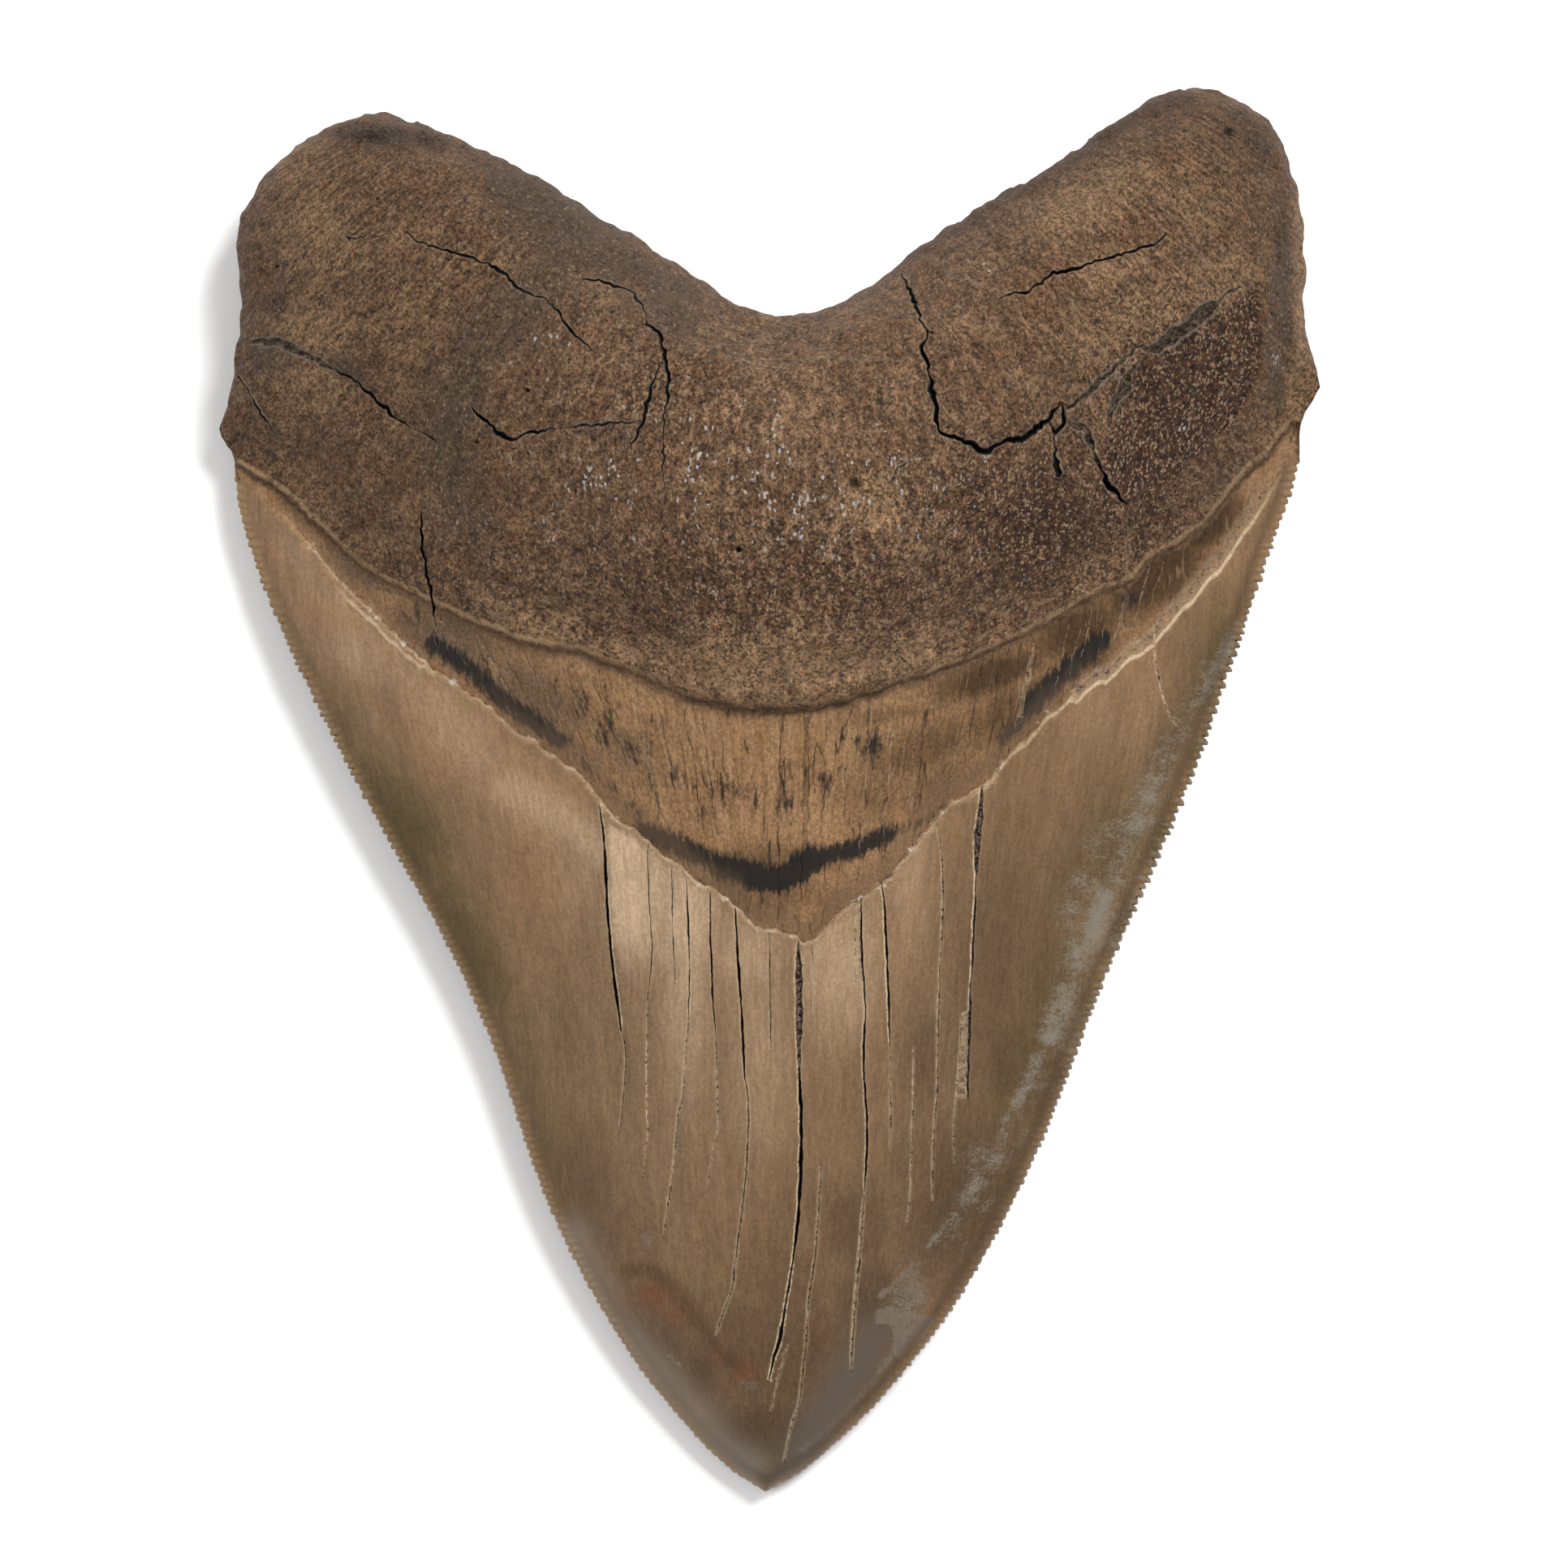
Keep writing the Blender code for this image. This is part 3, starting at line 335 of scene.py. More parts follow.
# Openings of the nutrient canals and small pits, as (x, y, radius, depth)
PITS = [
    (8.7, 30.8, 0.9, 0.8), (-2.9, 24.2, 0.42, 0.9), (-29.4, 35.4, 0.3, 0.5),
    (-24.3, 40.4, 0.35, 0.5), (-50.3, 53.8, 0.25, 0.4), (47.0, 67.3, 0.8, 0.5), (29.9, 32.0, 0.4, 0.6),
    (-19.5, 30.2, 0.25, 0.4), (33.6, 54.0, 0.25, 0.4), (5.6, 22.8, 0.22, 0.35), (-39.8, 60.3, 0.25, 0.4),
]
DARK_PIT_DEPTH = 0.3  # a pit is dark from this depth on
PIT_RINGS = [(0.4, 6), (0.75, 10), (1.1, 14)]  # mesh points in a pit, as (share of its radius, count)
# The stretch of the right lobe whose outer layer has flaked off
SLAB = [
    (32.5, 29.3), (34.7, 37.4), (36.5, 41.7), (37.7, 43.6), (45.8, 49.1), (50.6, 52.6), (50.8, 47.5),
    (50.9, 43.1), (48.4, 38.0), (41.8, 31.4), (32.5, 29.3),
]
SLAB_DEPTH = 0.4
SLAB_EDGE = 0.35
SLAB_FOOT = 30  # the step at its edge starts at this y, and grows to its full depth over SLAB_FADE
SLAB_FADE = 7

# Relief of the surfaces, as (height, wavelength across, wavelength along the tooth)
ROOT_RELIEF = [(0.3, 9.0, 9.0), (0.16, 3.6, 4.4), (0.11, 1.6, 2.2), (0.08, 0.9, 1.2)]
KNOBS = [(0.16, 2.4, 2.4), (0.1, 1.3, 1.3)]  # more relief near the root's outline
KNOB_REACH = 5.0
CALM_DEPTH = 0.4  # there is no relief in cracks as deep as this
CALM_EDGE = 3.0  # and less of it within this distance of the cutting edges
CALM_ROOT_SHARE = 0.2
BOURLETTE_RELIEF = [(0.06, 4.0, 9.0), (0.03, 0.9, 3.0)]
ENAMEL_RELIEF = [(0.07, 5.0, 24.0), (0.02, 1.6, 12.0)]

# Spacing of the mesh
ROOT_OUTLINE_SPACING = 0.5
SPUR_SPACING = 0.3
ROOT_SPACING = 0.44
BOURLETTE_SPACING = 0.42
ENAMEL_SPACING = 0.62
TIP_SPACING = 0.38
TIP_Y = -46  # the tip has a finer mesh below this
OUTER_SPACING = 0.95
STEP_SPACING = 0.35
CRACK_SPACING = 0.4
BLADE_RINGS = [(0.2, 0.14), (0.5, 0.18), (0.85, 0.24), (1.3, 0.34)]  # (distance in, spacing along the edge)
OUTER_BLADE_RINGS = [(0.25, 0.2), (0.8, 0.4)]
ROOT_RINGS = [(0.08, 0.5), (0.3, 0.5), (0.7, 0.5), (1.2, 0.5)]
CLEARANCE = 0.55  # as a share of a lattice's spacing: how far its points stay from other points
BORDER_GAP = 0.05
LINE_GAP = 0.16
LATTICE_JITTER = 0.22
LATTICE_X, LATTICE_Y = 58, 74  # the lattices reach this far from the middle
MERGE_DISTANCE = 1e-5
FINE = 0.1  # spacing of the copies of lines that distances are measured to
ROOT_BLUR = 0.3  # over which the root and the enamel's upper edge blend into the bourlette
DENTINE_BLUR = 0.15
SEED = 7


def smooth_step(t):
    t = np.clip(t, 0, 1)
    return t * t * (3 - 2 * t)


def rounded(t):
    """A quarter ellipse: it rises steeply from 0 and levels off at 1."""
    return np.sqrt(1 - (1 - np.clip(t, 0, 1)) ** 2)


def respaced(line, spacing):
    """Points an equal distance apart along a polyline, as near to the spacing as fits."""
    along = np.append(0, np.cumsum(np.linalg.norm(np.diff(line, axis=0), axis=1)))
    count = max(1, round(along[-1] / spacing))
    at = np.linspace(0, along[-1], count + 1)
    return np.column_stack([np.interp(at, along, line[:, axis]) for axis in (0, 1)])


def smooth_curve(points, spacing):
    """Points along the Catmull-Rom curve through the given ones."""
    given = np.array(points, float)
    padded = np.vstack([2 * given[0] - given[1], given, 2 * given[-1] - given[-2]])
    t = np.linspace(0, 1, 16, endpoint=False)[:, None]
    spans = []
    for before, start, end, after in zip(padded, padded[1:], padded[2:], padded[3:]):
        curve = 2 * start + (end - before) * t
        curve = curve + (2 * before - 5 * start + 4 * end - after) * t**2
        curve = curve + (3 * start - before - 3 * end + after) * t**3
        spans.append(curve / 2)
    return respaced(np.vstack([*spans, given[-1:]]), spacing)


def directions(line):
    along = np.gradient(line, axis=0)
    return along / np.linalg.norm(along, axis=1)[:, None]


def left_normals(line):
    """Unit vectors to the left of the direction of travel, at each point of a line."""
    along = directions(line)
    return np.column_stack([-along[:, 1], along[:, 0]])


def profile(knots, at):
    """Value at each place along a smooth profile given by (place, value) knots."""
    curve = smooth_curve(knots, 0.5)
    return np.interp(at, curve[:, 0], curve[:, 1])


def ripple(at, wavelength, row=0):
    """Smooth noise from about -1 to 1 along a line. Each row has its own."""
    return np.array([noise.noise((place / wavelength, row * 7.31, 0.5)) for place in at]) * 1.6


def relief(points, layers, row=0):
    """Smooth noise over a surface: the sum of layers of (height, wavelength across, wavelength along)."""
    total = np.zeros(len(points))
    for height, across, along in layers:
        row += 1
        scaled = points / (across, along, across) + row * 3.17
        total += height * 1.6 * np.array([noise.noise(place) for place in scaled])
    return total


def sheet_through(spots):
    """The height function of a thin sheet that bends smoothly through (x, y, height) spots."""
    table = np.array(spots, float)
    places = table[:, :2]

    def bend(first, second):
        square = ((first[:, None] - second[None]) ** 2).sum(axis=2)
        return square * np.log(square + 1e-9)

    flat = np.column_stack([np.ones(len(places)), places])
    system = np.block([[bend(places, places), flat], [flat.T, np.zeros((3, 3))]])
    weights = np.linalg.solve(system, np.append(table[:, 2], np.zeros(3)))

    def height(x, y):
        at = np.column_stack([x, y])
        tilt = np.column_stack([np.ones(len(at)), at])
        return bend(at, places) @ weights[: len(places)] + tilt @ weights[-3:]

    return height


def nearest(line, points):
    """Index of the nearest point of a line, and the distance to it, for each point."""
    tree = kdtree.KDTree(len(line))
    for index, (x, y) in enumerate(line):
        tree.insert((x, y, 0), index)
    tree.balance()
    found = [tree.find((x, y, 0))[1:] for x, y in points]
    return np.array([index for index, _ in found], int), np.array([away for _, away in found])


def distance_to(lines, points):
    return nearest(np.vstack(lines), points)[1]


# ---- The outline ----


@lru_cache(maxsize=None)
def cusp_bounds(length, row):
    """Where the cusps of an edge of this length meet, with lengths that vary."""
    draw = np.random.default_rng(SEED + row)
    sizes = 1 + CUSP_SPREAD * draw.uniform(-1, 1, round(length / CUSP_PITCH))
    return np.append(0, np.cumsum(sizes)) * length / sizes.sum()


@lru_cache(maxsize=None)
def cusp_sizes(count, row):
    draw = np.random.default_rng(SEED + 10 + row)
    return 1 + 1.5 * CUSP_SPREAD * draw.uniform(-1, 1, count)


def cusp_height(along, length, row, crest):
    """Height of the cusps' outline along an edge: 0 where two cusps meet and about 1 on a crest."""
    bounds = cusp_bounds(length, row)
    place = np.interp(along, bounds, np.arange(len(bounds)))
    index = np.clip(place.astype(int), 0, len(bounds) - 2)
    t = place - index
    bent = np.where(t < crest, t / crest / 2, 0.5 + (t - crest) / (1 - crest) / 2)
    return cusp_sizes(len(bounds) - 1, row)[index] * np.sin(math.pi * bent) ** CUSP_SHARPNESS


def edge_length(line):
    return round(float(np.linalg.norm(np.diff(line, axis=0), axis=1).sum()), 3)


def serrated(points, depths, row, crest):
    """A cutting edge with its cusps, walked with the tooth on its left."""
    line = smooth_curve(points, CUSP_PITCH / CUSP_POINTS)
    length = edge_length(line)
    height = cusp_height(np.linspace(0, length, len(line)), length, row, crest)
    out = (height - 1 + CREST_SHARE) * profile(depths, line[:, 1])
    out[[0, -1]] = 0
    return line - left_normals(line) * out[:, None]


EDGES = [
    (LEFT_EDGE, LEFT_CUSP_DEPTH, 0, 1 - CREST_PLACE),
    (RIGHT_EDGE, RIGHT_CUSP_DEPTH, 1, CREST_PLACE),
]


def outline():
    """The closed outline, counter-clockwise, without repeating a point."""
    runs = [serrated(*edge) for edge in EDGES]
    runs.append(smooth_curve(RIGHT_SPUR_EDGE, SPUR_SPACING))
    root = smooth_curve(ROOT_EDGE, ROOT_OUTLINE_SPACING)
    along = np.arange(len(root)) * ROOT_OUTLINE_SPACING
    fade = np.sin(math.pi * along / along[-1]) ** LUMP_FADE
    lumps = ROOT_LUMPS * (ripple(along, 2.6, 7) + 0.7 * ripple(along, 1.3, 8)) * fade
    runs.append(root - left_normals(root) * lumps[:, None])
    runs.append(smooth_curve(LEFT_SPUR_EDGE, SPUR_SPACING))
    return np.vstack([run[:-1] for run in runs])


# ---- The two faces ----


@lru_cache(maxsize=None)
def edge_line(side):
    """A fine copy of a cutting edge without its cusps: side 0 is the left one."""
    return smooth_curve(EDGES[side][0], FINE)


def place_across(x, y):
    """Place across the crown: -1 on the left cutting edge, 0 at the middle and 1 on the right edge."""
    left, right = edge_line(0)[::-1], edge_line(1)
    left_x = np.interp(y, left[:, 1], left[:, 0])
    right_x = np.interp(y, right[:, 1], right[:, 0])
    half = np.maximum((right_x - left_x) / 2, 0.05)
    return np.clip((x - (left_x + right_x) / 2) / half, -1, 1)


@lru_cache(maxsize=None)
def rim_curve():
    curve = smooth_curve(RIM, FINE)
    jitter = ripple(curve[:, 0], 1.1, 1) * RIM_JITTER
    return curve + np.column_stack([0 * jitter, jitter])


@lru_cache(maxsize=None)
def ledge_curve():
    curve = smooth_curve(ENAMEL_LEDGE, FINE)
    jitter = (ripple(curve[:, 0], 1.5, 2) + 0.6 * ripple(curve[:, 0], 0.6, 3)) * LEDGE_JITTER
    return curve + np.column_stack([0 * jitter, jitter])


def above(curve, x, y):
    """Signed distance above a line that runs from left to right."""
    smoothed = np.convolve(np.gradient(curve[:, 1], curve[:, 0]), np.ones(41) / 41, "same")
    height = np.interp(x, curve[:, 0], curve[:, 1])
    return (y - height) / np.sqrt(1 + np.interp(x, curve[:, 0], smoothed) ** 2)


def ledge_width(x):
    return profile(LEDGE_WIDTHS, x)


def towards_shoulders(x):
    """1 over most of the width, shrinking to 0 at the two shoulders."""
    return smooth_step((HALF_WIDTH - np.abs(x)) / STEP_FADE)


def shoulder_to_root(y, length):
    """0 on the blade, growing to 1 over a length of the root above the shoulders."""
    return smooth_step((y - SHOULDER_Y) / length)


def crown_top(x, y):
    """The inner face of the crown, under the enamel, carried on below the root."""
    edge = profile(CUTTING_EDGE_HEIGHT, y)
    ridge = profile(CROWN_RIDGE_HEIGHT, y)
    across = np.abs(place_across(x, y))
    arch = 1 - across**2
    bell = (1 + np.cos(math.pi * across)) / 2
    return edge + (ridge - edge) * (ARCH_SHARE * arch + (1 - ARCH_SHARE) * bell)


def root_margin(x, y):
    """Height of the root's widest line, which falls to the cutting edge at the shoulders."""
    notch = np.exp(-(((x - NOTCH_X) / NOTCH_WIDTH) ** 2))
    margin = ROOT_MARGIN_HEIGHT + (NOTCH_MARGIN_HEIGHT - ROOT_MARGIN_HEIGHT) * notch
    shoulder = profile(CUTTING_EDGE_HEIGHT, y)
    return shoulder + (margin - shoulder) * shoulder_to_root(y, MARGIN_LENGTH)


def rounding_width(y, on_root):
    """Width of the rounding along the outline, which is small on the shoulders and grows up the root."""
    return SHOULDER_ROUNDING + (on_root - SHOULDER_ROUNDING) * shoulder_to_root(y, ROUNDING_LENGTH)


def cusp_ridges(x, y):
    """How far the cusps' ridges stand out of the faces. They fade with distance from the cutting edge."""
    points = np.column_stack([x, y])
    total = np.zeros(len(points))
    for side, (_, depths, row, crest) in enumerate(EDGES):
        line = edge_line(side)
        close = np.flatnonzero(np.abs(np.abs(place_across(x, y)) - 1) < RIDGE_REACH)
        index, away = nearest(line, points[close])
        length = edge_length(smooth_curve(EDGES[side][0], CUSP_PITCH / CUSP_POINTS))
        lean = RIDGE_LEAN * away * (1 if side else -1)
        height = cusp_height(index * length / (len(line) - 1) + lean, length, row, crest)
        depth_share = np.clip(profile(depths, y[close]) / RIDGE_FULL_DEPTH, 0, 1)
        fade = smooth_step(1 - away / RIDGE_LENGTH)
        total[close] += RIDGE_HEIGHT * (height - RIDGE_LEVEL) * depth_share * fade
    return total * (y < SHOULDER_Y)


def upper_face(x, y, from_edge):
    """Height of the inner face, which is up, without its cracks."""
    crown = crown_top(x, y) + BLADE_BODY * rounded(from_edge / BLADE_BODY_WIDTH)
    fade = towards_shoulders(x)
    below_ledge = -above(ledge_curve(), x, y) / ledge_width(x)
    lip = LEDGE_LIP * np.exp(-((np.maximum(below_ledge - 1, 0) / LEDGE_LIP_WIDTH) ** 2))
    enamel = (LEDGE_STEP + lip) * fade * smooth_step(below_ledge)
    above_rim = above(rim_curve(), x, y)
    at_rim = crown + RIM_STEP * (SHOULDER_RIM_SHARE + (1 - SHOULDER_RIM_SHARE) * fade)
    root = at_rim + (sheet_through(ROOT_SPOTS)(x, y) - at_rim) * smooth_step(above_rim / RIM_BLEND)
    root = crown + (root - crown) * rounded(above_rim / RIM_ROUNDING)
    margin = root_margin(x, y)
    root = margin + (root - margin) * rounded(from_edge / rounding_width(y, UPPER_ROUNDING))
    return np.where(above_rim > 0, root, crown + enamel)


def outer_ledge(x):
    """Where the enamel ends on the outer face."""
    return OUTER_LEDGE_Y + OUTER_LEDGE_RISE * (np.abs(x) / HALF_WIDTH) ** OUTER_LEDGE_POWER


def lower_face(x, y, from_edge):
    """Height of the outer face, which rests on a flat patch of the crown and on the two lobes."""
    edge = profile(CUTTING_EDGE_HEIGHT, y)
    crown = edge * np.abs(place_across(x, y)) ** TURN_UP_POWER - FLAT_PATCH_CUT
    crown = crown + HOLLOW_DEPTH * np.exp(-(((y - HOLLOW_Y) / HOLLOW_LENGTH) ** 2))
    above_ledge = y - outer_ledge(x)
    root = sheet_through(UNDERSIDE_SPOTS)(x, y)
    blend = smooth_step(above_ledge / OUTER_BLEND)
    step = OUTER_STEP * smooth_step(above_ledge / OUTER_STEP_WIDTH) * (1 - blend)
    face = crown + (root - crown) * blend + step
    blade = face - BLADE_BODY * rounded(from_edge / BLADE_BODY_WIDTH)
    margin = root_margin(x, y)
    root_side = margin + (face - margin) * rounded(from_edge / rounding_width(y, LOWER_ROUNDING))
    on_root = shoulder_to_root(y, OUTER_STEP_WIDTH)
    return np.maximum(blade + (root_side - blade) * on_root, 0)


# ---- Cracks ----


def fan_at(x):
    return np.where(x < 0, LEFT_FAN, RIGHT_FAN)


def hairlines():
    """The fine cracks of the bourlette, dark ones mostly on the left and pale ones on the right."""
    draw = np.random.default_rng(SEED + 20)
    found = []
    for x in np.arange(*HAIRLINE_ENDS, HAIRLINE_SPACING):
        x += draw.uniform(-HAIRLINE_SHIFT, HAIRLINE_SHIFT)
        top = np.interp(x, *rim_curve().T) - draw.uniform(*HAIRLINE_TOP)
        floor = np.interp(x, *ledge_curve().T) + draw.uniform(*HAIRLINE_FOOT)
        bottom = max(floor, top - draw.uniform(*HAIRLINE_LENGTHS))
        if top - bottom < SHORTEST_HAIRLINE:
            continue
        steps = np.linspace(0, top - bottom, HAIRLINE_POINTS)
        line = [(x * (1 - fan_at(x) * down), top - down) for down in steps]
        filling = CHALK if draw.uniform(-CHALKY_RANGE, CHALKY_RANGE) < x * CHALKY_SHARE else DARK
        half_width = HAIRLINE_HALF_WIDTH * draw.uniform(*HAIRLINE_SHARES)
        found.append((half_width, HAIRLINE_DEPTH, filling, 0, 0, line))
    return found


@lru_cache(maxsize=None)
def cracks():
    """Every crack, as (kind, half width, depth, filling, both lips, line, width's share along the line)."""
    draw = np.random.default_rng(SEED + 30)
    found = []
    for kind, group in (("crown", CROWN_CRACKS), ("root", ROOT_CRACKS), ("hairline", hairlines())):
        for half_width, depth, filling, left, right, points in group:
            if kind == "root":
                middle = respaced(np.array(points, float), CRACK_SPACING)
            else:
                middle = smooth_curve(points, CRACK_SPACING)
            along = np.arange(len(middle)) * CRACK_SPACING
            row = len(found)
            sway, jitter = WANDER[kind]
            stray = sway * (ripple(along, 1.3, row) + 0.7 * ripple(along, 3.1, row + 50))
            stray += jitter * draw.uniform(-1, 1, len(along))
            middle = middle + left_normals(middle) * stray[:, None]
            to_end = np.minimum(along, along[::-1])
            share = np.clip(CRACK_END_SHARE + (1 - CRACK_END_SHARE) * to_end / CRACK_FADE, 0, 1)
            uneven = 0.6 * ripple(along, 1.1, row + 90) + 0.6 * ripple(along, 3.7, row + 130)
            share = share * np.clip(1 + GAPS[kind] * uneven, *WIDTH_LIMITS)
            found.append((kind, half_width, depth, filling, left, right, middle, share))
    return found


def crack_lines():
    """Lines of mesh points along each crack: its two lips and its bottom, which is two lines in a wide one.
    """
    lines = []
    for _, half_width, _, _, _, _, middle, share in cracks():
        side = left_normals(middle) * (half_width * share)[:, None]
        places = (-1, -0.5, 0.5, 1) if half_width >= WIDE_CRACK else (-1, 0, 1)
        lines += [middle + place * side for place in places]
    return lines


def beside_crack(points, middle, share, reach):
    """Points within reach of a crack: their indices, distance from it, side of it and its share there."""
    low, high = middle.min(axis=0) - reach, middle.max(axis=0) + reach
    close = np.flatnonzero(((points > low) & (points < high)).all(axis=1))
    fine = respaced(middle, FINE)
    shares = np.interp(np.linspace(0, 1, len(fine)), np.linspace(0, 1, len(share)), share)
    index, away = nearest(fine, points[close])
    offset = points[close] - fine[index]
    along = directions(fine)[index]
    side = np.sign(along[:, 0] * offset[:, 1] - along[:, 1] * offset[:, 0])
    beyond = ((index == 0) | (index == len(fine) - 1)) & (away > FINE)
    keep = (away < reach) & ~beyond
    return close[keep], away[keep], side[keep], shares[index[keep]]


def crack_paint(points):
    """The cracks' depth and lips at each point, and what the material reads of the nearest crack."""
    names = ("depth", "lip", "crack_width", "crack_lip", "dust", DARK, GRIT, CHALK)
    paint = {name: np.zeros(len(points)) for name in names}
    paint["crack_away"] = np.full(len(points), CRACK_REACH)
    gap = np.full(len(points), CRACK_REACH)
    for row, (kind, half_width, depth, filling, left, right, middle, share) in enumerate(cracks()):
        close, away, side, shares = beside_crack(points, middle, share, CRACK_SURROUND)
        width = half_width * shares * SLIMNESS[kind, filling]
        bottom = 1 - np.clip(away / width, 0, 1) ** (2 if half_width >= WIDE_CRACK else 1)
        paint["depth"][close] = np.maximum(paint["depth"][close], depth * np.minimum(shares, 1) * bottom)
        nearer = away - width < gap[close]
        at = close[nearer]
        gap[at] = (away - width)[nearer]
        lips = np.where(side > 0, left, right) * LIP_PALENESS[kind]
        if filling == CHALK:
            lips = lips * CHALK_LIP_PALENESS
        paint["crack_away"][at] = away[nearer]
        paint["crack_width"][at] = width[nearer]
        paint["crack_lip"][at] = lips[nearer]
        for name in (DARK, GRIT, CHALK):
            paint[name][at] = FILL_STRENGTH[kind, filling] if name == filling else 0
        dust = DUST_STRENGTH[kind] * DUST_SHARE[filling] * np.exp(-np.maximum(away - width, 0) / DUST_WIDTH)
        paint["dust"][close] = np.maximum(paint["dust"][close], dust * np.minimum(shares, 1))
        if kind == "hairline":
            continue
        tilt = math.sin(row * LIP_TURN)
        rise = LIP_HEIGHT * np.where(side > 0, tilt, -tilt) * np.exp(-away / LIP_REACH)
        paint["lip"][close] += rise * smooth_step(CRACK_SURROUND - away) * smooth_step(shares)
    return paint


def pit_depth(points):
    depth = np.zeros(len(points))
    for x, y, radius, deepest in PITS:
        away = np.hypot(points[:, 0] - x, points[:, 1] - y)
        depth = np.maximum(depth, deepest * (1 - smooth_step(away / radius)))
    return depth


def pit_rings():
    points = []
    for x, y, radius, _ in PITS:
        points.append((x, y))
        for share, count in PIT_RINGS:
            turns = np.arange(count) * math.tau / count
            points += [(x + share * radius * math.cos(t), y + share * radius * math.sin(t)) for t in turns]
    return np.array(points)


def inside_polygon(polygon, points):
    inside = np.zeros(len(points), bool)
    for (x1, y1), (x2, y2) in zip(polygon, polygon[1:]):
        crosses = (y1 > points[:, 1]) != (y2 > points[:, 1])
        at = x1 + (points[:, 1] - y1) * (x2 - x1) / (y2 - y1 + 1e-12)
        inside ^= crosses & (points[:, 0] < at)
    return inside


@lru_cache(maxsize=None)
def slab_line():
    line = respaced(np.array(SLAB), STEP_SPACING)
    along = np.arange(len(line)) * STEP_SPACING
    return line + left_normals(line) * (0.45 * ripple(along, 2.2, 5) + 0.2 * ripple(along, 0.8, 6))[:, None]


def area_share(line, points, edge):
    """1 inside a closed line, falling to 0 at the line over the width of the edge."""
    inside = inside_polygon(line, points)
    share = np.zeros(len(points))
    share[inside] = smooth_step(distance_to([line], points[inside]) / edge)
    return share


def slab_share(points):
    """1 where the outer layer has flaked off, falling to 0 at the sharp edge of that stretch."""
    return area_share(slab_line(), points, SLAB_EDGE) * smooth_step((points[:, 1] - SLAB_FOOT) / SLAB_FADE)


# ---- The mesh ----


def lattice(spacing, keep, draw):
    """Points of a jittered triangular lattice, where keep(points) is true."""
    rows = []
    for row, y in enumerate(np.arange(-LATTICE_Y, LATTICE_Y, spacing * math.sqrt(0.75))):
        x = np.arange(-LATTICE_X, LATTICE_X, spacing) + (spacing / 2 if row % 2 else 0)
        rows.append(np.column_stack([x, np.full(len(x), y)]))
    points = np.vstack(rows)
    points = points + draw.uniform(-LATTICE_JITTER, LATTICE_JITTER, points.shape) * spacing
    return points[keep(points)]


def root_part(points):
    return above(rim_curve(), *points.T) > 0


def bourlette_part(points):
    return ~root_part(points) & (above(ledge_curve(), *points.T) > -0.5)


def tip_part(points):
    return points[:, 1] < TIP_Y


def enamel_part(points):
    return ~root_part(points) & ~bourlette_part(points) & (points[:, 1] > TIP_Y)


def whole_face(points):
    return np.ones(len(points), bool)


def delaunay(points, edges):
    """Points, triangles and the given points behind each, inside the closed line of the first edges."""
    flat = [Vector(point) for point in points]
    found, _, faces, origins, _, _ = delaunay_2d_cdt(flat, edges, [], 1, MERGE_DISTANCE)
    return np.array([tuple(point) for point in found]), np.array(faces), origins


def border_index(origins, border_count):
    """The border point behind each found point, or -1."""
    return np.array([min((o for o in origin if o < border_count), default=-1) for origin in origins])


def chord_middles(points, edges, border_count):
    """Middles of the edges that would run straight across the inside from one border point to another."""
    found, faces, origins = delaunay(points, edges)
    behind = border_index(origins, border_count)
    pairs = np.vstack([faces[:, [0, 1]], faces[:, [1, 2]], faces[:, [2, 0]]])
    ends = behind[pairs]
    apart = np.abs(ends[:, 0] - ends[:, 1])
    chords = pairs[(ends >= 0).all(axis=1) & (apart != 1) & (apart != border_count - 1)]
    if not len(chords):
        return np.zeros((0, 2))
    return np.unique(np.round((found[chords[:, 0]] + found[chords[:, 1]]) / 2, 5), axis=0)


def spread(candidates, taken, gap):
    """The candidates that keep a gap to the points taken already."""
    return candidates[distance_to(taken, candidates) > gap]


def sheet(border, lines, loose, lattices):
    """The inner points of a filled sheet and its faces, which count the border's points first."""
    closed_border = respaced(np.vstack([border, border[:1]]), FINE)
    fixed = [respaced(line, FINE) for line in lines]
    near = np.vstack(loose)
    near = spread(spread(near, [closed_border], BORDER_GAP), fixed, LINE_GAP)
    grids = [spread(grid, [closed_border, near, *fixed], CLEARANCE * spacing) for grid, spacing in lattices]
    points = [border]
    edges = [(i, (i + 1) % len(border)) for i in range(len(border))]
    count = len(border)
    for line in lines:
        points.append(line)
        edges += [(count + i, count + i + 1) for i in range(len(line) - 1)]
        count += len(line)
    points += [near, *grids]
    points += [chord_middles(np.vstack(points), edges, len(border))]
    found, faces, origins = delaunay(np.vstack(points), edges)
    behind = border_index(origins, len(border))
    used = np.zeros(len(found), bool)
    used[faces] = True
    inner = np.flatnonzero(used & (behind < 0))
    place = behind.copy()
    place[inner] = len(border) + np.arange(len(inner))
    return found[inner], place[faces]


def inner_rings(spacings, points):
    """Points on lines that follow part of the outline inside it, at the given distances and spacings."""
    found = []
    for distance, spacing in spacings:
        line = smooth_curve(points, spacing)
        found.append(line + left_normals(line) * distance)
    return found


def step_lines():
    """The foot and brow of the root's rim, both sides of the enamel's broken edge, and the slab's edge."""
    rim = respaced(rim_curve(), STEP_SPACING)
    brow = rim + (0, RIM_BROW)
    ledge = respaced(ledge_curve(), STEP_SPACING)
    foot = ledge - np.column_stack([0 * ledge[:, 0], ledge_width(ledge[:, 0])])
    return [rim, brow, ledge, foot, slab_line()]


